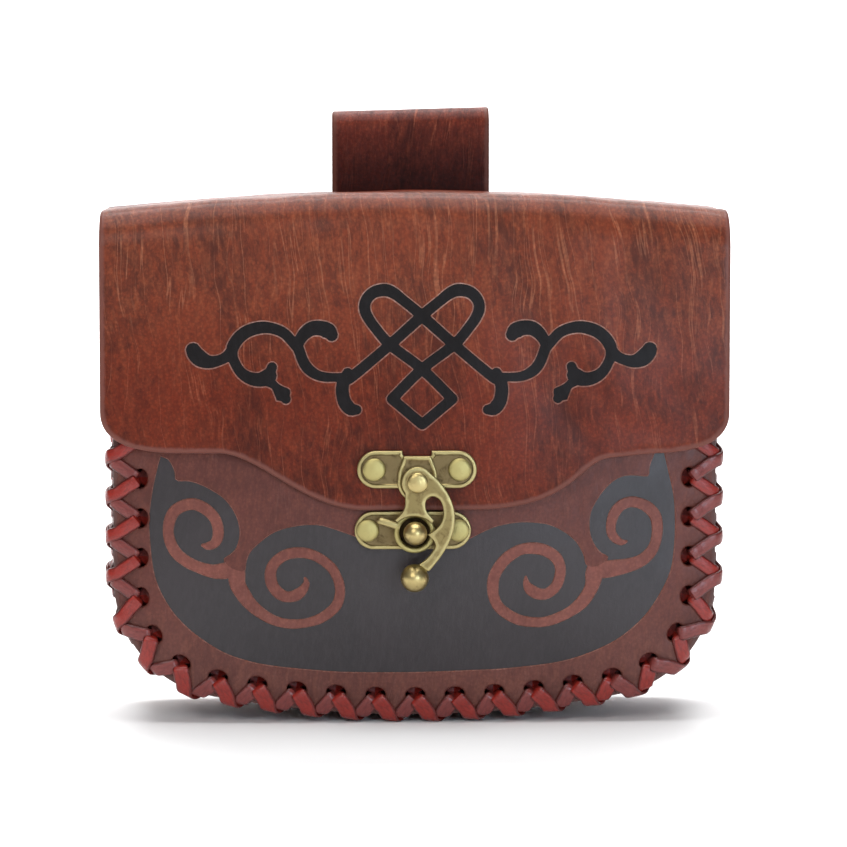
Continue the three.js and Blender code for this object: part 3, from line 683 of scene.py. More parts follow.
paintLook = {"base": colour(40, 33, 36), "pale": colour(54, 47, 51), "dark": colour(29, 24, 26),
             "roughness": 0.38, "gloss": 0.35, "shine": 0.3}
inkLook = {"base": colour(20, 16, 17), "pale": colour(30, 26, 27), "dark": colour(12, 10, 10),
           "roughness": 0.5, "gloss": 0.05, "shine": 0.12}


def brassMaterial(name, look):
    material, tree, shader, place = newMaterial(name)
    film = useGroup(tree, tarnish, {"Place": place, "Amount": look["film"]})
    base = mixed(tree, film["Mask"], look["base"], look["dark"])
    # paler along the edges: partly rubbed wear, partly a painted highlight on the bevels
    if "rubbedAndGlint" in look:
        base = coated(tree, rimFade(tree, place, 0.8), 0.9, base, look["rubbedAndGlint"])
    rough = spread(tree, film["Mask"], 0, 1, look["roughness"], look["roughness"] + 0.18)
    surface(tree, shader, base, rough, film["Height"], 0.35, 0.00012)
    shader.inputs["Metallic"].default_value = 1.0
    return material


# rubbedAndGlint: the edges' rubbed wear and a painted highlight
brassLook = {"base": colour(134, 118, 78), "dark": colour(94, 77, 49), "film": 0.5, "roughness": 0.38,
             "rubbedAndGlint": colour(174, 160, 112)}
oldBrassLook = {"base": colour(114, 98, 68), "dark": colour(78, 64, 42), "film": 0.5, "roughness": 0.46}
brightBrassLook = {"base": colour(184, 166, 114), "dark": colour(124, 106, 66), "film": 0.35,
                   "roughness": 0.36}
discBrassLook = {"base": colour(174, 162, 108), "dark": colour(134, 122, 80), "film": 0.35,
                 "roughness": 0.5}
shadowBrassLook = {"base": colour(52, 42, 28), "dark": colour(30, 24, 16), "film": 0.6, "roughness": 0.6}


def laceMaterial(name, look):
    material, tree, shader, place = newMaterial(name)
    skin = useGroup(tree, hide, {"Place": place, "Streak Scale": 1.2, "Grain Scale": 2.2,
                                 "Vein Scale": 0.6})
    base = coated(tree, skin["Streaks"], 0.7, look["base"], look["dark"])
    base = coated(tree, rimFade(tree, place, 0.45), 0.7, base, look["rim"])
    rough = spread(tree, skin["Streaks"], 0, 1, 0.32, 0.46)
    surface(tree, shader, base, rough, skin["Grain"], 0.3, 0.0003)
    shader.inputs["Specular IOR Level"].default_value = 0.3
    shader.inputs["Coat Weight"].default_value = 0.3
    shader.inputs["Coat Roughness"].default_value = 0.25
    return material


redLace = {"base": colour(140, 37, 28), "dark": colour(98, 25, 21), "rim": colour(66, 22, 20)}
# the paler, duller copy of the lace colour is a painted sheen on the strands that lean one way
paintedSheenLace = {"base": colour(120, 52, 48), "dark": colour(88, 35, 33), "rim": colour(66, 28, 27)}

flapLeather = leatherMaterial("flapLeather", flapLook)
frontLeather = leatherMaterial("frontLeather", frontLook)
bandLeather = leatherMaterial("bandLeather", bandLook)
sideLeather = leatherMaterial("sideLeather", sideLook)
loopLeather = leatherMaterial("loopLeather", loopLook)
cutLeather = leatherMaterial("cutLeather", cutLook)
frontPaint = paintMaterial("frontPaint", paintLook)
knotInk = paintMaterial("knotInk", inkLook)
brass = brassMaterial("brass", brassLook)
oldBrass = brassMaterial("oldBrass", oldBrassLook)
brightBrass = brassMaterial("brightBrass", brightBrassLook)
discBrass = brassMaterial("discBrass", discBrassLook)
shadowBrass = brassMaterial("shadowBrass", shadowBrassLook)
laceRed = laceMaterial("laceRed", redLace)
lacePaintedSheen = laceMaterial("lacePaintedSheen", paintedSheenLace)
print("materials ready")


# Outlines of the pouch's faces

def faceLine(halfWidth, bottom, corner, sag, top, step=0.5):
    # down the left side, round the bottom and up the right side
    cornerX = halfWidth - corner
    sagZ = bottom + sag
    cornerZ = sagZ - math.sqrt((sag - corner) ** 2 - cornerX ** 2)
    join = math.atan2(cornerX, sagZ - cornerZ)
    left = [(-halfWidth, top), (-halfWidth, cornerZ)]
    for turn in np.linspace(math.pi, 1.5 * math.pi - join, 40)[1:]:
        left.append((-cornerX + corner * math.cos(turn), cornerZ + corner * math.sin(turn)))
    for turn in np.linspace(1.5 * math.pi - join, 1.5 * math.pi, 60)[1:]:
        left.append((sag * math.cos(turn), sagZ + sag * math.sin(turn)))
    right = [(-x, z) for x, z in left[:-1]][::-1]
    return evenly(np.array(left + right), step)


def lacePlaces(edge):
    # where the holes are: place(i) gives the point, the ways out and along, the distance to the edge
    row = {"side": 6.5, "bottom": 4.8, "pitch": 9.4}  # how far in on the sides and the bottom
    line = faceLine(edge["half"] - row["side"], panelBottom + row["bottom"], cornerRadius - row["side"],
                    sagRadius - row["side"], mouth - edge["rowInset"], 0.25)
    run = lengthsAlong(line)
    count = round(run[-1] / row["pitch"])

    def place(i):
        share = np.clip(i / count, 0, 1) * run[-1]
        along = wayAt(line, run, share, 0.4)
        out = np.array([along[1], -along[0]])
        inset = row["side"] + (row["bottom"] - row["side"]) * abs(out[1])
        return pointsAt(line, run, share), out, along, inset

    return count, run[-1] / count, place


def laceHoles(edge):
    hole = {"radius": 2.3, "squeeze": 0.75, "corners": 18}
    count, _, place = lacePlaces(edge)
    holes = []
    for i in range(count + 1):
        (x, z), _, along, _ = place(i)
        turn = math.atan2(along[1], along[0])
        holes.append(circle(x, z, hole["radius"], hole["corners"], hole["squeeze"], turn))
    return holes


def frontAt(x, z):
    across = np.maximum(0, 1 - (x / frontHalf) ** 2)
    upwards = np.maximum(0, 1 - ((z - bulgeCentre) / bulgeHalf) ** 2)
    return frontFace - bulge * across * upwards


frontEdge = {"half": frontHalf, "other": backHalf, "face": frontFace, "faceAt": frontAt, "toward": -1,
             "rowInset": 10.4}
backEdge = {"half": backHalf, "other": frontHalf, "face": backFace, "faceAt": lambda x, z: backFace,
            "toward": 1, "rowInset": 5}


def ripple(x, y, scale, height, seed):
    return height * np.array([noise.noise(Vector((a * scale, b * scale, seed))) for a, b in zip(x, y)])


# Front panel

def frontPanel():
    look = {"rim": 0.45, "spacing": 1.7, "sink": 0.34, "slope": 0.2,
            "wave": (0.05, 0.25, 3.0)}  # how fine, how high, and which pattern
    # the painted field, clockwise from the left leaf's tip
    field = [
        (-60.0, 63.5), (-58.1, 62.8), (-57.1, 61.3), (-56.4, 59.5), (-56.2, 57.8), (-53.3, 57.7),
        (-50.8, 57.0), (-47.9, 55.6), (-45.0, 53.7), (-42.9, 51.1), (-41.6, 48.3), (-41.2, 45.7),
        (-41.4, 43.6), (-42.2, 41.5), (-43.6, 40.1), (-45.1, 39.0), (-43.2, 37.0), (-40.4, 36.3),
        (-40.0, 38.5), (-39.0, 41.0), (-36.8, 43.2), (-33.9, 45.4), (-30.7, 46.7), (-27.1, 47.4),
        (-24.6, 47.6), (-22.1, 47.4), (-19.0, 46.5), (-15.0, 45.1), (-9.0, 43.0), (0.0, 41.6),
        (9.0, 43.0), (12.8, 44.3), (15.6, 45.7), (19.0, 47.1), (24.1, 48.0), (28.4, 47.9),
        (32.0, 47.2), (35.3, 45.5), (37.9, 43.3), (39.7, 40.3), (40.6, 37.4), (43.2, 37.4),
        (45.5, 39.2), (43.7, 40.3), (42.2, 42.1), (41.1, 44.7), (40.8, 47.6), (41.3, 50.5),
        (42.6, 53.0), (44.4, 55.5), (46.5, 57.5), (48.7, 58.6), (50.9, 58.9), (53.1, 58.7),
        (55.0, 58.6), (55.0, 60.1), (55.5, 61.9), (56.4, 64.0), (57.8, 67.5), (59.2, 62.7),
        (59.9, 59.7), (60.8, 56.0), (61.4, 52.4), (61.6, 48.7), (61.6, 44.4), (61.3, 40.3),
        (60.8, 36.7), (59.5, 33.1), (57.3, 29.1), (54.8, 25.5), (51.5, 22.2), (47.6, 19.3),
        (43.2, 17.1), (38.5, 15.3), (33.8, 14.1), (29.0, 13.4), (24.3, 12.9), (19.6, 12.5),
        (14.9, 12.3), (0.0, 11.8), (-15.9, 11.9), (-23.9, 12.4), (-31.1, 13.1), (-36.5, 13.9),
        (-40.9, 15.0), (-45.2, 16.6), (-49.2, 19.0), (-53.1, 21.9), (-56.4, 25.2), (-58.5, 28.1),
        (-60.3, 31.4), (-61.5, 34.6), (-62.3, 39.0), (-62.7, 43.7), (-62.9, 47.7), (-62.6, 51.3),
        (-62.0, 55.3), (-60.9, 60.4),
    ]
    # leather bands that run into the field: x, z and width
    bands = [
        [(-50.1, 42.4, 0.4), (-49.0, 42.2, 1.4), (-47.4, 42.8, 1.9), (-46.5, 44.4, 2.2),
         (-46.5, 46.8, 2.3), (-47.4, 49.1, 2.3), (-49.4, 51.0, 2.4), (-51.9, 52.1, 2.4),
         (-54.4, 51.8, 2.4), (-56.6, 50.5, 2.4), (-57.8, 48.3, 2.4), (-58.2, 45.6, 2.2),
         (-57.7, 43.0, 2.3), (-56.3, 40.5, 2.4), (-53.9, 38.5, 2.4), (-50.9, 37.1, 2.4),
         (-47.6, 36.2, 2.9), (-44.7, 36.4, 3.6), (-43.0, 36.6, 3.6)],
        [(-42.6, 37.4, 3.6), (-42.2, 35.9, 3.9), (-41.9, 33.2, 3.4), (-40.7, 30.9, 3.2),
         (-39.2, 28.8, 2.8), (-37.2, 26.9, 2.4), (-34.3, 25.0, 2.1), (-31.5, 24.0, 1.9),
         (-28.6, 23.7, 1.9), (-25.7, 24.0, 1.8), (-22.8, 24.9, 2.0), (-20.3, 26.5, 2.1),
         (-18.5, 28.5, 2.1), (-17.8, 30.9, 2.0), (-17.9, 33.1, 2.0), (-18.4, 34.7, 1.9),
         (-19.7, 37.1, 2.0), (-22.1, 39.2, 2.0), (-24.9, 40.5, 2.1), (-28.0, 40.8, 2.2),
         (-30.7, 40.2, 2.2), (-32.9, 38.6, 2.2), (-34.0, 36.7, 2.3), (-34.1, 34.5, 2.4),
         (-33.4, 32.5, 2.4), (-31.8, 30.8, 2.4), (-29.8, 30.2, 2.2), (-27.8, 30.8, 2.4),
         (-26.4, 32.1, 1.8), (-25.7, 33.6, 1.1), (-26.0, 34.7, 0.3)],
        [(49.8, 43.0, 0.3), (48.7, 42.8, 1.1), (47.2, 43.7, 1.7), (46.2, 45.3, 1.9),
         (46.2, 47.5, 2.0), (46.9, 49.7, 2.2), (48.4, 51.5, 2.2), (50.6, 52.4, 2.2),
         (52.8, 52.1, 2.2), (55.0, 51.0, 2.4), (56.7, 49.0, 2.4), (57.2, 46.6, 2.3),
         (57.1, 44.1, 2.2), (56.5, 41.9, 2.2), (55.4, 40.1, 2.4), (53.2, 38.3, 2.6),
         (50.3, 37.3, 3.0), (47.0, 36.7, 3.6), (44.3, 36.4, 3.9)],
        [(42.6, 37.2, 3.6), (42.2, 35.2, 3.9), (41.9, 33.2, 3.2), (41.2, 31.4, 2.8),
         (39.4, 28.7, 2.7), (36.7, 26.5, 2.2), (33.5, 24.9, 2.1), (30.4, 24.0, 2.0),
         (27.3, 24.0, 2.0), (24.3, 24.6, 2.2), (21.5, 26.1, 2.2), (19.5, 27.9, 2.2),
         (18.4, 30.3, 2.2), (18.2, 32.9, 2.4), (18.6, 35.3, 2.4), (20.1, 37.9, 2.4),
         (22.1, 39.9, 2.4), (24.8, 41.4, 2.2), (27.9, 41.7, 2.4), (30.6, 41.1, 2.4),
         (33.0, 39.5, 2.4), (34.1, 37.3, 2.2), (34.0, 34.8, 2.2), (33.0, 32.4, 2.2),
         (31.0, 30.8, 2.2), (28.9, 30.8, 2.4), (27.0, 31.9, 2.2), (26.1, 33.4, 1.2), (26.0, 34.9, 0.2)],
    ]
    outline = faceLine(frontHalf, panelBottom, cornerRadius, sagRadius, mouth, 1.0)
    outline = np.vstack([outline, evenly([(frontHalf, mouth), (-frontHalf, mouth)], 1.0)[1:-1]])
    holes = laceHoles(frontEdge)
    closedField = np.vstack([np.array(field), [field[0]]])
    fieldLoop = evenly(spline(closedField, 0.8)[:-1], 0.8, closed=True)
    bandLoops = [brushStroke(rows) for rows in bands]

    def inField(points):
        return (windings(points, fieldLoop) != 0) & ~inAny(points, bandLoops)

    def put3(x, z, depth):
        y = frontAt(x, z) + depth + ripple(x, z, *look["wave"])
        return np.column_stack([x, y, z])

    points, faces, kinds, marks = cutSheet(outline, holes, put3, leather, look,
                                           {"loops": [fieldLoop] + bandLoops, "inside": inField})
    # the bands between the paint have paler leather than the border
    middles = np.array([marks["flat"][list(face)].mean(axis=0) for face in faces])
    onTop = (middles[:, 2] < 0.05) & (np.array(kinds) == 0)
    inside = (windings(middles[:, :2], fieldLoop) != 0) & onTop
    part = (points, faces, np.where(inside, 3, kinds), marks)
    newPiece("frontPanel", part, "pouch",
             [frontLeather, frontPaint, cutLeather, bandLeather], ["front_panel"])


# Back and flap, one sheet: v is the height up the back and runs on over the folds

flapShape = {
    "half": 74, "top": 121, "arch": 4.2, "frontFold": 9, "backFold": 8, "side": -24.75, "swell": 4.35,
    "tab": 51.1, "corner": (18, 9.5),
    # each half of the lower edge: the corner's rise, the shoulder's x, rise and reach, the tab's x, reach
    "left": (13.3, 46, 13.3, 9, 12, 14), "right": (13.0, 46.5, 12.1, 8, 14, 24),
    # how fine, how high, and which pattern; the waves begin over a stretch of v
    "waves": ((0.045, 0.45, 7.0), (0.16, 0.1, 11.0)), "waveStart": (60, 120),
}
backArcEnd = flapShape["top"] - flapShape["backFold"] + math.pi / 2 * flapShape["backFold"]
ridgeEnd = backArcEnd + backFace - flapShape["backFold"] - (flapShape["side"] + flapShape["frontFold"])
frontArcEnd = ridgeEnd + math.pi / 2 * flapShape["frontFold"]
flapZero = frontArcEnd + flapShape["top"] - flapShape["frontFold"]  # v at z 0 in front


def flapProfile(v):
    shape = flapShape
    backR, frontR, top = shape["backFold"], shape["frontFold"], shape["top"]
    y = np.full(len(v), float(backFace))
    z = np.array(v, float)
    inY, inZ = np.full(len(v), -1.0), np.zeros(len(v))
    arc = v > top - backR
    turn = np.clip((v - (top - backR)) / backR, 0, math.pi / 2)
    y[arc] = (backFace - backR + backR * np.cos(turn))[arc]
    z[arc] = (top - backR + backR * np.sin(turn))[arc]
    inY[arc], inZ[arc] = -np.cos(turn)[arc], -np.sin(turn)[arc]
    ridge = v > backArcEnd
    y[ridge] = (backFace - backR - (v - backArcEnd))[ridge]
    z[ridge] = top
    inY[ridge], inZ[ridge] = 0, -1
    bend = v > ridgeEnd
    turn = np.clip((v - ridgeEnd) / frontR, 0, math.pi / 2)
    y[bend] = (shape["side"] + frontR - frontR * np.sin(turn))[bend]
    z[bend] = (top - frontR + frontR * np.cos(turn))[bend]
    inY[bend], inZ[bend] = np.sin(turn)[bend], -np.cos(turn)[bend]
    hang = v > frontArcEnd
    z[hang] = (top - frontR - (v - frontArcEnd))[hang]
    return y, z, inY, inZ


def flapPlace(x, v, depth):
    shape = flapShape
    y, z, inY, inZ = flapProfile(v)
    across = np.maximum(0, 1 - (x / shape["half"]) ** 2)
    straight = shape["top"] - shape["frontFold"]
    down = 1 - np.clip((z - bulgeCentre) / (straight - bulgeCentre), 0, 1) ** 2
    lean = np.where(y < frontFace, shape["swell"] * across * down, 0)
    lift = shape["arch"] * across * ramp(z, mouth, shape["top"])
    wave = sum(ripple(x, v, *row) for row in shape["waves"]) * ramp(v, *shape["waveStart"])
    y3 = y + inY * (depth - wave) - lean
    z3 = z + inZ * (depth - wave) + lift
    return np.column_stack([x, y3, z3])


def flapEdge():
    # the flap's lower edge in front, from its right side to its left, as x and z
    shape = flapShape
    across, rise = shape["corner"]

    def half(side, row):
        cornerRise, shoulderX, shoulderRise, shoulderReach, tabX, tabReach = row
        tab = shape["tab"]
        end = tab + cornerRise
        top = (side * shape["half"], end + rise)
        middle = np.array((side * shape["half"], end))
        foot = np.array((side * (shape["half"] - across), end))
        line = [top] + bezier(top, np.array(top) + (middle - top) * 2 / 3,
                              foot + (middle - foot) * 2 / 3, foot, 40)
        shoulder = (side * shoulderX, tab + shoulderRise)
        return line + [shoulder] + bezier(shoulder, (side * (shoulderX - shoulderReach), shoulder[1]),
                                          (side * (tabX + tabReach), tab), (side * tabX, tab), 40)

    return half(1, shape["right"]) + half(-1, shape["left"])[::-1]


def knotStrokes():
    # one side of the knot and its scrolls, about the middle of the flap: x, z and width
    strand = [(7.49, 0.03, 2.23), (0.09, 6.72, 2.23), (-4.4, 10.38, 2.23), (-6.5, 11.99, 2.46),
              (-8.44, 12.74, 2.7), (-10.82, 12.42, 2.58), (-12.35, 11.37, 2.46), (-13.24, 9.91, 2.42),
              (-13.39, 8.4, 2.42), (-12.83, 6.77, 2.34), (-11.25, 4.39, 2.23), (-7.48, 0.06, 2.23),
              (-0.02, -5.63, 2.23), (7.08, -12.6, 2.23)]
    foot = [(-7.08, -12.6, 2.23), (-0.04, -18.53, 2.23)]
    arm = [(0.09, 6.72, 2.23), (-7.48, 0.06, 2.23), (-15.67, -6.84, 2.3), (-18.13, -8.35, 2.46)]
    tail = [(-17.42, -6.49, 2.11), (-18.57, -9.52, 2.77), (-18.53, -11.85, 2.86), (-17.91, -13.72, 2.95),
            (-16.63, -14.95, 2.91), (-15.34, -15.12, 2.11)]
    bow = [(-16.84, -7.47, 1.88), (-20.3, -7.56, 1.83), (-22.44, -7.51, 1.97), (-24.33, -7.09, 2.11),
           (-26.06, -6.06, 2.34), (-27.24, -4.76, 2.39), (-28.08, -3.11, 2.34), (-28.61, -1.59, 2.34),
           (-29.19, 0.04, 2.46)]
    crook = [(-28.96, -1.59, 1.64), (-28.72, 0.41, 2.11), (-27.72, 2.32, 2.7), (-25.84, 3.76, 3.14),
             (-23.56, 3.9, 3.28), (-21.83, 3.17, 3.52), (-21.13, 2.36, 2.81)]
    ring = [(-28.5, -1.59, 1.99), (-30.22, 0.6, 2.16), (-32.17, 2.69, 2.25), (-34.69, 3.79, 2.34),
            (-37.46, 4.07, 2.58), (-40.5, 3.28, 2.72), (-42.72, 1.72, 2.72), (-44.22, -0.57, 2.67),
            (-44.27, -2.53, 2.23), (-43.56, -4.51, 2.18), (-42.05, -6.67, 2.39), (-39.72, -7.93, 2.81),
            (-37.15, -8.02, 3.14), (-35.51, -7.18, 2.93)]
    lobe = [(-36.91, -7.65, 3.05), (-35.51, -6.25, 2.23), (-35.04, -5.16, 2.11)]
    drop = [(-35.98, -8.35, 2.58), (-34.47, -9.51, 1.74), (-33.42, -10.68, 2.7), (-32.42, -11.73, 3.75),
            (-31.84, -12.59, 2.11)]
    tip = [(-44.36, -1.13, 2.34), (-45.53, -2.62, 2.34), (-47.36, -3.58, 2.25), (-49.65, -3.98, 2.81),
           (-51.72, -3.28, 3.61), (-53.0, -2.07, 3.56), (-53.47, -1.25, 3.28)]
    middle, wider = (1.46, 89.8), 0.75  # the knot's place, and how far the ink runs past its strokes
    loops = []
    for side in (1, -1):
        for rows in (strand, foot, arm, tail, bow, crook, ring, lobe, drop, tip):
            loop = brushStroke([(side * x, z, width + wider) for x, z, width in rows])
            loops.append(np.column_stack([middle[0] + loop[:, 0], flapZero - (middle[1] + loop[:, 1])]))
    return loops


def backAndFlap():
    look = {"rim": 0.75, "spacing": 1.75, "sink": 0.3, "slope": 0.28,
            "widenFrom": mouth - 8, "widenTo": mouth + 4}
    half = flapShape["half"]
    lower = faceLine(backHalf, panelBottom, cornerRadius, sagRadius, look["widenFrom"], 1.0)
    front = [(x, flapZero - z) for x, z in flapEdge()]
    right = [(backHalf, look["widenFrom"]), (half, look["widenTo"]), front[0]]
    left = [front[-1], (-half, look["widenTo"]), (-backHalf, look["widenFrom"])]
    outline = np.vstack([lower[:-1], evenly(right, 1.0)[:-1], evenly(front, 1.0)[:-1],
                         evenly(left, 1.0)[:-1]])
    holes = laceHoles(backEdge)
    strokes = knotStrokes()
    part = cutSheet(outline, holes, flapPlace, leather, look,
                    {"loops": strokes, "inside": lambda rows: inAny(rows, strokes)})
    newPiece("backAndFlap", part, "pouch", [flapLeather, knotInk, cutLeather],
             ["back_flap"])


# Gusset

def gussetStrap():
    look = {"inset": 1, "rim": 0.5, "spacing": 2.2, "holeDepth": 7.5, "holeRadius": 1.3,
            "hollow": 0.9, "hollowFrom": (20, 60)}  # the sides dip in, more from this height up
    lines = []
    for half in (frontHalf, backHalf):
        line = faceLine(half - look["inset"], panelBottom + look["inset"], cornerRadius - look["inset"],
                        sagRadius - look["inset"], mouth, 0.5)
        lines.append((line, lengthsAlong(line)))
    length = lines[0][1][-1]

    def along(which, share):
        line, run = lines[which]
        way = wayAt(line, run, share * run[-1], 0.5)
        return pointsAt(line, run, share * run[-1]), np.stack([-way[:, 1], way[:, 0]], axis=1)

    def put3(u, v, depth):
        share = u / length
        mix = (v / gussetDepth + 0.5)[:, None]
        near, left = along(0, share)
        far, _ = along(1, share)
        hollow = look["hollow"] * np.cos(math.pi * v / gussetDepth) ** 2
        hollow = hollow * ramp(near[:, 1], *look["hollowFrom"])
        point = near * (1 - mix) + far * mix + left * (depth + hollow)[:, None]
        return np.column_stack([point[:, 0], v, point[:, 1]])

    half = gussetDepth / 2
    outline = evenly([(0, -half), (length, -half), (length, half), (0, half)], 1.5, closed=True)
    holes = []
    for side, edge in ((-1, frontEdge), (1, backEdge)):
        count, _, _ = lacePlaces(edge)
        inset = edge["rowInset"]
        for i in range(count + 1):
            u = inset + (length - 2 * inset) * i / count
            holes.append(circle(u, side * (half - look["holeDepth"] + leather + gap), look["holeRadius"]))
    part = cutSheet(outline, holes, put3, leather, look)
    newPiece("gussetStrap", part, "pouch", [sideLeather], ["gusset"])


# Lacing

def lacing(name, edge, stands):
    look = {
        "width": 3.2, "wider": 0.7, "holeWidth": 2.7, "thick": 0.9, "edgeRound": 0.9,
        "lift": 0.06, "layer": 0.9,           # over the leather, and the upper strands over the lower
        "pullIn": 1.0, "pullFrom": (1.5, 4.5),  # the lace follows the gusset, set in from the edge
        "sideHole": 7.5, "steps": 18, "start": 1.15, "stagger": 0.25,
        "sideways": (0.06, 0.84),             # where a strand starts and how far it goes, in pitches
        "end": 0.94,                          # the share of the way to the side hole
        "dip": 0.25,                          # how much an upper strand dips between two crossings
        "endSink": (0.35, 0.6),               # how much it sinks at its end, and from where
        "shake": 0.15, "shakeWidth": 0.05,
        # the flat runs inside the pouch: from, to, lift and width
        "behindFace": (-2.4, 2.4, -3.95, 6.2), "behindSide": (-2, 2, -3.3, 4.0),
        "strapClear": 3.8,                    # keeps the run behind the face off the gusset
        "sheenSide": 40,                        # right of this the strands swap colours, so the painted sheen moves to the other strands
    }
    count, pitch, place = lacePlaces(edge)
    face, toward = edge["face"], edge["toward"]
    bend = look["edgeRound"]

    def wrapped(i, out, lift):
        # out is the distance from the hole, measured over the edge and back along the gusset
        at, way, _, inset = place(i)
        flatRun = inset - bend
        arcRun = bend * math.pi / 2
        if out <= flatRun:
            reach, back = out, -lift
        elif out <= flatRun + arcRun:
            turn = (out - flatRun) / bend
            reach = flatRun + (bend + lift) * math.sin(turn)
            back = bend - (bend + lift) * math.cos(turn)
        else:
            reach, back = inset + lift, bend + out - flatRun - arcRun
        flare = (edge["other"] - edge["half"]) * max(0.0, back) / gussetDepth * abs(way[0])
        reach += flare - look["pullIn"] * float(ramp(back, *look["pullFrom"]))
        x, z = at + way * reach
        y = float(edge["faceAt"](x, z)) if back < bend else face
        if back < bend:
            y += (face - y) * float(ramp(reach, inset - 2, inset))
        return np.array([x, y - toward * back, z])

    def toSideHole(inset):
        return inset - bend + bend * math.pi / 2 + look["sideHole"] - bend

    def strand(i, way, upper, seed):
        _, outward, _, inset = place(i + way * 0.5)
        width = look["width"] + look["wider"] * abs(outward[1])
        total = toSideHole(inset)
        rows = []
        shake = noise.noise(Vector((seed * 1.7, 0.3, 0.9)))
        begin = look["start"] + (0.0 if upper else look["stagger"])
        first, span = look["sideways"]
        sink, sinkFrom = look["endSink"]
        for k in range(look["steps"] + 1):
            t = k / look["steps"]
            lift = look["lift"] + look["thick"] / 2
            if upper:
                over = 1 - look["dip"] + look["dip"] * math.cos(4 * math.pi * t)
                lift += look["layer"] * over * (1 - sink * float(ramp(t, sinkFrom, 1.0)))
            out = begin + (total * look["end"] - begin) * t + look["shake"] * shake
            rows.append((i + way * (first + span * t), out, lift,
                         width * (1 + look["shakeWidth"] * shake)))
        start = rows[0]
        end = rows[-1]
        # the lace lies flat behind the hole before it comes up through it
        headRows = [(i, -2.6, -2.9, width * 1.8), (i, -0.8, -3.0, width * 1.7),
                    (i + way * 0.02, begin - 0.55, -2.2, look["holeWidth"]),
                    (i + way * 0.03, begin - 0.3, -1.0, look["holeWidth"]),
                    (i + way * 0.04, begin - 0.2, start[2] * 0.35, width * 0.9)]
        footRows = [(i + way * 0.96, total - 0.35, end[2] * 0.4, look["holeWidth"]),
                    (i + way * 0.97, total - 0.2, -1.0, look["holeWidth"] * 0.85),
                    (i + way * 0.97, total - 0.2, -2.2, look["holeWidth"] * 0.8)]
        rows = headRows + rows + footRows
        rows = spline([(r[0] * pitch, r[1], r[2], r[3]) for r in rows], 1.0)
        centres, widths, sides = [], [], []
        slant = np.array([total, -way * pitch]) / math.hypot(total, pitch)
        for s, out, lift, width in rows:
            here = wrapped(s / pitch, out, lift)
            ahead = wrapped(s / pitch, out + 0.1, lift)
            beside = wrapped(s / pitch + 0.02, out, lift)
            if s / pitch + 0.02 > count:
                beside = 2 * here - wrapped(s / pitch - 0.02, out, lift)
            towards = (ahead - here) / (np.linalg.norm(ahead - here) + 1e-9)
            tangent = (beside - here) / (np.linalg.norm(beside - here) + 1e-9)
            centres.append(here)
            widths.append(width)
            sides.append(tangent * slant[0] + towards * slant[1])
        # even out the line so that the strap keeps its thickness
        centres, sides = np.array(centres), np.array(sides)
        run = lengthsAlong(centres)
        at = np.linspace(0, run[-1], max(14, int(run[-1] / 0.6)))
        # the strands that lean to the left take the paler, duller copy of the lace colour, a painted sheen
        rightSide = place(i)[0][0] > look["sheenSide"]
        return ribbon(pointsAt(centres, run, at), np.interp(at, run, widths), [look["thick"]] * len(at),
                      pointsAt(sides, run, at), 0 if upper != rightSide else 1, seed)

    def inside(i, low, high, lift, width, seed):
        # the flat run of lace that lies behind a hole, inside the pouch
        way = place(i)[2]
        centres = [wrapped(i, out, lift) for out in np.linspace(low, high, 4)]
        return ribbon(centres, [width] * 4, [look["thick"]] * 4, [(way[0], 0, way[1])] * 4, 0, seed)

    parts = []
    for i in range(count):
        parts.append(strand(i, 1, True, i + 0.37))
        parts.append(strand(i + 1, -1, False, i + 50.71))
    for i in range(count + 1):
        inset = place(i)[3]
        low, high, lift, width = look["behindFace"]
        parts.append(inside(i, low, min(high, inset - look["strapClear"]), lift, width, i + 0.13))
        low, high, lift, width = look["behindSide"]
        parts.append(inside(i, toSideHole(inset) + low, toSideHole(inset) + high, lift, width, i + 0.59))
    newPiece(name, joinParts(parts), "pouch", [laceRed, lacePaintedSheen], stands, 60)


# Belt loop

def beltLoop():
    look = {"half": 19.3, "top": 145, "foot": 68, "strap": 2, "turn": 5.25, "near": 20.8, "join": 82,
            "taper": 8, "footY": 25.1, "rim": 0.6, "spacing": 1.6,
            "tilt": 0.028, "tiltFrom": (100, 140)}  # the top edge leans, more from this height up
    far = look["near"] + 2 * look["turn"]
    turnZ = look["top"] - look["turn"]
    line = [(look["near"], look["foot"]), (look["near"], turnZ)]
    for angle in np.linspace(math.pi, 0, 25)[1:]:
        line.append((look["near"] + look["turn"] + look["turn"] * math.cos(angle),
                     turnZ + look["turn"] * math.sin(angle)))
    line.append((far, look["join"] + look["taper"]))
    for t in np.linspace(0, 1, 20)[1:]:
        line.append((far + (look["footY"] - far) * t * t * (3 - 2 * t),
                     look["join"] + look["taper"] * (1 - t)))
    line.append((look["footY"], look["foot"]))
    line = evenly(line, 0.4)
    run = lengthsAlong(line)

    def put3(x, v, depth):
        at, way = pointsAt(line, run, v), wayAt(line, run, v, 0.5)
        y = at[:, 0] + way[:, 1] * depth
        z = at[:, 1] - way[:, 0] * depth + look["tilt"] * x * ramp(at[:, 1], *look["tiltFrom"])
        return np.column_stack([x, y, z])

    half = look["half"]
    outline = evenly([(-half, 0), (half, 0), (half, run[-1]), (-half, run[-1])], 1.2, closed=True)
    part = cutSheet(outline, [], put3, look["strap"], look)
    newPiece("beltLoop", part, "pouch", [loopLeather], ["belt_loop"])


# Clasp

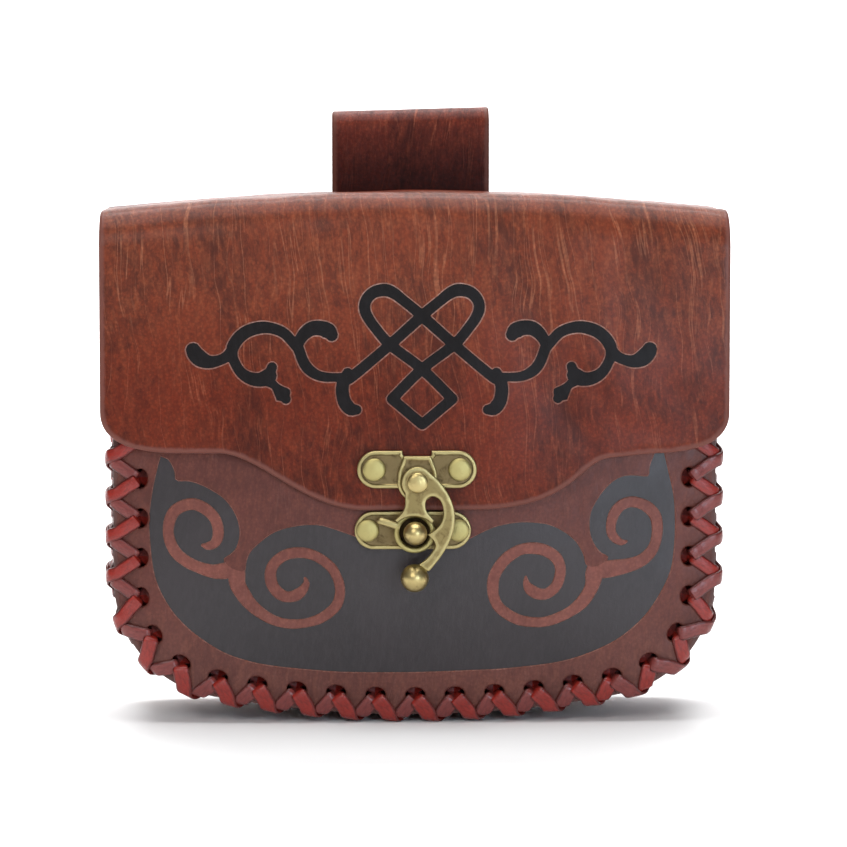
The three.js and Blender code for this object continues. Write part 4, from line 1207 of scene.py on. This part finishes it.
clasp = {
    "upperSeat": -29.2, "catchSeat": -26.6, "plate": 1.2, "bridge": 0.9, "hookBack": -31.4, "hook": 1.4,
    "pivot": (0.3, 57.9), "upper": (0.2, 60.8, 28, 8.8), "catch": (-0.7, 46.3, 27.4, 9),
    "upperSpan": 20, "catchSpan": 21.2, "post": (-0.65, -11.55),
    "rim": 0.35, "border": 0.85, "sink": 0.22,  # each plate's rounded edge and raised border
}
hookFront = clasp["hookBack"] - clasp["hook"]


def stadium(x, z, width, height, step=0.5):
    radius = height / 2
    reach = width / 2 - radius
    right = [(x + reach + radius * math.cos(a), z + radius * math.sin(a))
             for a in np.linspace(-math.pi / 2, math.pi / 2, 24)]
    left = [(x - reach + radius * math.cos(a), z + radius * math.sin(a))
            for a in np.linspace(math.pi / 2, 1.5 * math.pi, 24)]
    return evenly(right + left, step, closed=True)


def metalPlate(outline, backY, thickness, rim, spacing=0.9, border=None, sink=0.15):
    frontY = backY - thickness

    def put3(x, z, depth):
        return np.column_stack([x, frontY + depth, z])

    paint = None
    if border:
        field = shifted(counterClockwise(outline), border)
        paint = {"loops": [field], "inside": lambda rows: inAny(rows, [field])}
    look = {"rim": rim, "spacing": spacing, "sink": sink, "slope": 0.2}
    return cutSheet(outline, [], put3, thickness, look, paint)


def domedRivet(x, z, seatY, radius, height, toward, sides=40):
    # shares of the radius and the height: the shank, the foot, the flat foot's lip and the dome
    shape = {"shank": 0.4, "shankLength": 1.5, "foot": 0.97, "lip": 0.12, "flat": 0.42, "dome": 0.78}
    shank = radius * shape["shank"]
    inside = seatY - toward * shape["shankLength"]
    rows = [(0, inside), (shank, inside), (shank, seatY), (radius * shape["foot"], seatY),
            (radius, seatY + toward * height * shape["lip"])]
    for k in range(1, 9):
        turn = math.pi / 2 * k / 8
        rows.append((radius * (shape["flat"] + (1 - shape["flat"]) * math.cos(turn)),
                     seatY + toward * height * (shape["lip"] + shape["dome"] * math.sin(turn))))
    rows += [(radius * 0.3, seatY + toward * height * 0.96), (radius * 0.15, seatY + toward * height),
             (0, seatY + toward * height)]
    return turned(rows, x, z, sides)


def ball(x, y, z, radius, kind=0):
    rows = [(radius * math.sin(t), y + radius * math.cos(t)) for t in np.linspace(0, math.pi, 25)]
    rows[0] = (0, y + radius)
    rows[-1] = (0, y - radius)
    return turned(rows, x, z, 48, kind)


def upperPlate():
    x, z, width, height = clasp["upper"]
    seat = clasp["upperSeat"]
    px, pz = clasp["pivot"]
    look = {"topHalf": 3.3, "waistHalf": 4.7, "waistRise": 2.6, "notch": 1.2, "seatIn": 0.2,
            "rim": 0.4, "border": 0.7, "sink": 0.15}
    top = z + height / 2 - look["notch"]
    # the plate's outline with a notch above the bridge
    ring = counterClockwise(stadium(x, z, width, height, 0.2))
    cut = (ring[:, 1] > top) & (abs(ring[:, 0] - px) < look["topHalf"])
    first = int(np.argmax(cut))
    kept = np.roll(ring, -first, axis=0)[~np.roll(cut, -first)]
    notch = [(px + look["topHalf"], top), (px - look["topHalf"], top)]
    outline = evenly(np.vstack([kept, notch]), 0.45, closed=True)
    parts = [metalPlate(outline, seat, clasp["plate"], clasp["rim"], 0.9, clasp["border"], clasp["sink"])]
    waistZ = pz + look["waistRise"]
    outline = [(px - look["topHalf"] + 0.1, top), (px - look["waistHalf"] + 0.2, waistZ)]
    for angle in np.linspace(math.pi, 2 * math.pi, 24):
        outline.append((px + look["waistHalf"] * math.cos(angle), pz + look["waistHalf"] * math.sin(angle)))
    outline += [(px + look["waistHalf"] - 0.2, waistZ), (px + look["topHalf"] - 0.1, top)]
    bridge = evenly(outline, 0.45, closed=True)
    height = clasp["plate"] + clasp["bridge"] - look["seatIn"]
    parts.append(metalPlate(bridge, seat - look["seatIn"], height, look["rim"], 0.9, look["border"],
                            look["sink"]))
    newPiece("upperPlate", joinParts(parts), "pouch", [brass, oldBrass, brass],
             ["upper_plate"], 45)


def catchPlate():
    x, z, width, height = clasp["catch"]
    seat = clasp["catchSeat"]
    look = {"ringIn": 3.6, "ringOut": 4.8, "ringHeight": 3, "ringDrop": 0.35, "neck": 0.9, "ball": 2.75,
            "lead": 2.65, "hornAngle": 163, "hornFrom": 3.6, "hornTo": 9.2, "hornWidth": 1.8}
    top = seat - clasp["plate"]
    postX, postZ = clasp["pivot"][0] + clasp["post"][0], clasp["pivot"][1] + clasp["post"][1]
    parts = [metalPlate(stadium(x, z, width, height), seat, clasp["plate"], clasp["rim"], 0.9,
                        clasp["border"], clasp["sink"])]
    crest = top - look["ringHeight"]
    inner, outer = look["ringIn"], look["ringOut"]
    ring = [(inner, top + 0.3), (inner, crest + 0.35), (inner + 0.12, crest + 0.1), (inner + 0.4, crest),
            (outer - 0.4, crest), (outer - 0.12, crest + 0.1), (outer, crest + 0.35), (outer, top + 0.3),
            (inner, top + 0.3)]
    parts.append(turned(ring, postX, postZ - look["ringDrop"], 56, 4))
    # a dark disc on the plate inside the ring: painted shade in the gap round the ball
    paintedShadeDisc = [(0, top - 0.03), (inner + 0.1, top - 0.03), (inner + 0.1, top + 0.2), (0, top + 0.2)]
    parts.append(turned(paintedShadeDisc, postX, postZ - look["ringDrop"], 40, 5))
    # a rounded horn that runs out from the ring and down to the plate at its tip
    angle = math.radians(look["hornAngle"])
    way = np.array([math.cos(angle), 0, math.sin(angle)])
    across = np.array([-way[2], 0, way[0]])
    start = np.array([postX, crest + 0.8, postZ])
    runs = np.linspace(look["hornFrom"], look["hornTo"], 16)
    half = look["hornWidth"] / 2
    pastRound = [max(0, (r - look["hornTo"] + half) / half) for r in runs]
    widths = [2 * half * math.sqrt(max(0.02, 1 - r ** 2)) for r in pastRound]
    centres = [start + way * r + np.array([0, 0.03 * max(0, r - 5) ** 2, 0]) for r in runs]
    horn = ribbon(centres, widths, [w * 0.9 for w in widths], [across] * len(runs), 0, count=16)
    # the whole horn counts as edge and takes the brass's paler edge colour all over: partly wear, partly a
    # painted highlight on the thin rod
    horn[3]["edge"] = [0.0] * len(horn[0])
    parts.append(horn)
    legTop = start + way * (look["hornTo"] - 1.6) + np.array([0, 0.3, 0])
    legs = [legTop, legTop + np.array([0, 1.2, 0]), legTop + np.array([0, 2.6, 0])]
    parts.append(ribbon(legs, [1.3] * 3, [1.3] * 3, [across] * 3))
    neckTop = hookFront - look["lead"]
    neck = [(0, top + 0.3), (look["neck"], top + 0.3), (look["neck"], neckTop), (0, neckTop)]
    parts.append(turned(neck, postX, postZ, 24))
    parts.append(ball(postX, neckTop, postZ, look["ball"], 3))
    newPiece("catchPlate", joinParts(parts), "pouch",
             [brass, oldBrass, brass, brightBrass, discBrass, shadowBrass], ["catch_plate"], 45)


def swingHook():
    look = {"eye": 3.75, "eyeFrom": 1.22, "eyeTo": 0.2,  # in half turns
            "rim": 0.3, "spacing": 0.7,
            "knob": 3.3, "knobShift": -0.7, "knobDrop": 22.3, "knobForward": 0.5}
    px, pz = clasp["pivot"]
    line = [(look["eye"] * math.cos(a), look["eye"] * math.sin(a))
            for a in np.linspace(look["eyeFrom"] * math.pi, look["eyeTo"] * math.pi, 40)]
    # curves as two controls and an end; a lone point is a straight edge
    edges = [
        [(5.2, 0.6), (8.7, -3.6), (8.7, -8)],
        [(8.7, -12.4), (6.6, -16.4), (2.6, -20.8)],
        [(-0.6, -19.6)],
        [(0.6, -19), (3.2, -17.4), (4.2, -14.6)],
        [(3.9, -13.4), (3.1, -12.9), (2.3, -12.1)],
        [(4.2, -11.4), (6, -9.4), (6, -7)],
        [(6, -4.6), (4.9, -3.2), (3.4, -3.2)],
        [(2.1, -3.2), (1.6, -4.6), (1.9, -5.8)],
        [(2, -7), (3, -7.7), (3.9, -8.8)],
        [(3.2, -9.6)],
        [(1.4, -7.4), (-3, -7.4), (-4.6, -9.3)],
        [(-5.4, -8.7)],
        [(-3.9, -7.6), (-3, -6.2), (-2.9, -4.9)],
        [(-2.9, -4), (-3, -3.6), line[0]],
    ]
    for row in edges:
        line += row if len(row) == 1 else bezier(line[-1], *row, 24)
    outline = np.array([(px + x, pz + z) for x, z in line[:-1]])
    outline = evenly(outline, 0.3, closed=True)
    parts = [metalPlate(outline, clasp["hookBack"], clasp["hook"], look["rim"], look["spacing"])]
    knobY = clasp["hookBack"] - clasp["hook"] / 2 - look["knobForward"]
    parts.append(ball(px + look["knobShift"], knobY, pz - look["knobDrop"], look["knob"], 1))
    newPiece("swingHook", joinParts(parts), "hook", [brass, brightBrass],
             ["swing_hook"], 45)


def rivets():
    look = {"plateRadius": 2.7, "pivotRadius": 2.45, "height": 0.9,
            "loopRadius": 4, "loopHeight": 1.1, "loopX": 11, "loopZ": 75, "loopLayers": 4}
    sides = ((-1, "Left"), (1, "Right"))
    for label, plate, span, seat in (("upper", clasp["upper"], clasp["upperSpan"], clasp["upperSeat"]),
                                     ("catch", clasp["catch"], clasp["catchSpan"], clasp["catchSeat"])):
        for side, end in sides:
            part = domedRivet(plate[0] + side * span / 2, plate[1], seat - clasp["plate"],
                              look["plateRadius"], look["height"], -1)
            newPiece(label + "Rivet" + end, part, "pouch", [discBrass],
                     [label + "_rivet_" + end.lower()], 50)
    px, pz = clasp["pivot"]
    part = domedRivet(px, pz, hookFront, look["pivotRadius"], look["height"], -1)
    newPiece("pivotRivet", part, "pouch", [brightBrass], ["pivot_rivet"], 50)
    loopSeat = backFace + gap + look["loopLayers"] + gap
    for side, end in sides:
        part = domedRivet(look["loopX"] * side, look["loopZ"], loopSeat, look["loopRadius"],
                          look["loopHeight"], 1, 48)
        newPiece("loopRivet" + end, part, "pouch", [brass],
                 ["loop_rivet_" + end.lower()], 50)


# Light, floor and camera

def studio():
    view = {"azimuth": -1.6, "elevation": 4.5, "distance": 0.9, "lens": 162.1,
            "target": (0.002, 0.001 * (forward - 20), 0.0708)}
    cameraData = bpy.data.cameras.new("camera")
    cameraData.lens = view["lens"]
    cameraData.sensor_width = 36
    cameraData.clip_start = 0.01
    camera = bpy.data.objects.new("camera", cameraData)
    bpy.context.scene.collection.objects.link(camera)
    azimuth, elevation = math.radians(view["azimuth"]), math.radians(view["elevation"])
    back = Vector((math.sin(azimuth) * math.cos(elevation), -math.cos(azimuth) * math.cos(elevation),
                   math.sin(elevation)))
    camera.location = Vector(view["target"]) + back * view["distance"]
    camera.rotation_euler = back.to_track_quat("Z", "Y").to_euler()
    bpy.context.scene.camera = camera

    # name, place, size, power, tint and what it points at
    lights = [
        ("keyLight", (-0.3, -0.9, 0.62), 0.45, 3.5, (1.0, 0.98, 0.95), (0, 0, 0.07)),
        ("sideLight", (0.4, -0.98, 0.2), 0.3, 3.4, (0.7, 0.84, 1.0), (0, 0, 0.07)),
        ("topLight", (0.0, -0.05, 1.1), 0.8, 10.5, (1.0, 1.0, 1.0), (0, 0, 0.06)),
        ("backLight", (0, 0.9, 1.6), 1.2, 75.0, (1.0, 1.0, 1.0), (0, 2.0, 0.5)),
    ]
    for name, place, size, power, tint, target in lights:
        data = bpy.data.lights.new(name, "AREA")
        data.shape = "SQUARE"
        data.size = size
        data.energy = power
        data.color = tint
        lamp = bpy.data.objects.new(name, data)
        lamp.location = place
        aim = Vector(target) - Vector(place)
        lamp.rotation_euler = aim.to_track_quat("-Z", "Y").to_euler()
        bpy.context.scene.collection.objects.link(lamp)

    world = bpy.data.worlds.new("studio")
    world.use_nodes = True
    ground = world.node_tree.nodes["Background"]
    ground.inputs["Color"].default_value = (1.0, 1.0, 1.0, 1.0)
    ground.inputs["Strength"].default_value = 0.18
    bpy.context.scene.world = world
    bpy.context.scene.view_settings.view_transform = "Standard"


def studioFloor(height):
    # a pale sheet that curves up far behind
    size = {"near": -2.5, "far": 1.2, "bend": 0.8, "top": 3.0, "half": 3.5}
    bend = size["bend"]
    line = [(size["near"], 0.0), (size["far"], 0.0)]
    for k in range(1, 13):
        turn = math.pi / 2 * k / 12
        line.append((size["far"] + bend * math.sin(turn), bend - bend * math.cos(turn)))
    line.append((size["far"] + bend, size["top"]))
    points, faces = [], []
    for y, z in line:
        points += [(-size["half"], y, z + height), (size["half"], y, z + height)]
    for k in range(len(line) - 1):
        faces.append((2 * k, 2 * k + 1, 2 * k + 3, 2 * k + 2))
    mesh = bpy.data.meshes.new("floor")
    mesh.from_pydata(points, [], faces)
    mesh.shade_smooth()
    floor = bpy.data.objects.new("floor", mesh)
    bpy.context.scene.collection.objects.link(floor)
    material = bpy.data.materials.new("palePaper")
    material.use_nodes = True
    tree = material.node_tree
    shader = tree.nodes["Principled BSDF"]
    fleck = put(tree, "TexNoise", {"Scale": 40.0, "Detail": 4.0})
    mask = spread(tree, fleck.outputs[0], 0.3, 0.7)
    tone = mixed(tree, mask, (0.90, 0.90, 0.90, 1), (0.92, 0.92, 0.92, 1))
    tree.links.new(tone, shader.inputs["Base Color"])
    shader.inputs["Roughness"].default_value = 0.8
    mesh.materials.append(material)


studio()
frontPanel()
backAndFlap()
gussetStrap()
lacing("frontLacing", frontEdge, ["front_lace"])
lacing("backLacing", backEdge, ["back_lace"])
beltLoop()
upperPlate()
catchPlate()
swingHook()
rivets()

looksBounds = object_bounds()
studioFloor(min(0.0, looksBounds[0].z))
print("looks done, lowest point", round(looksBounds[0].z * 1000, 2))
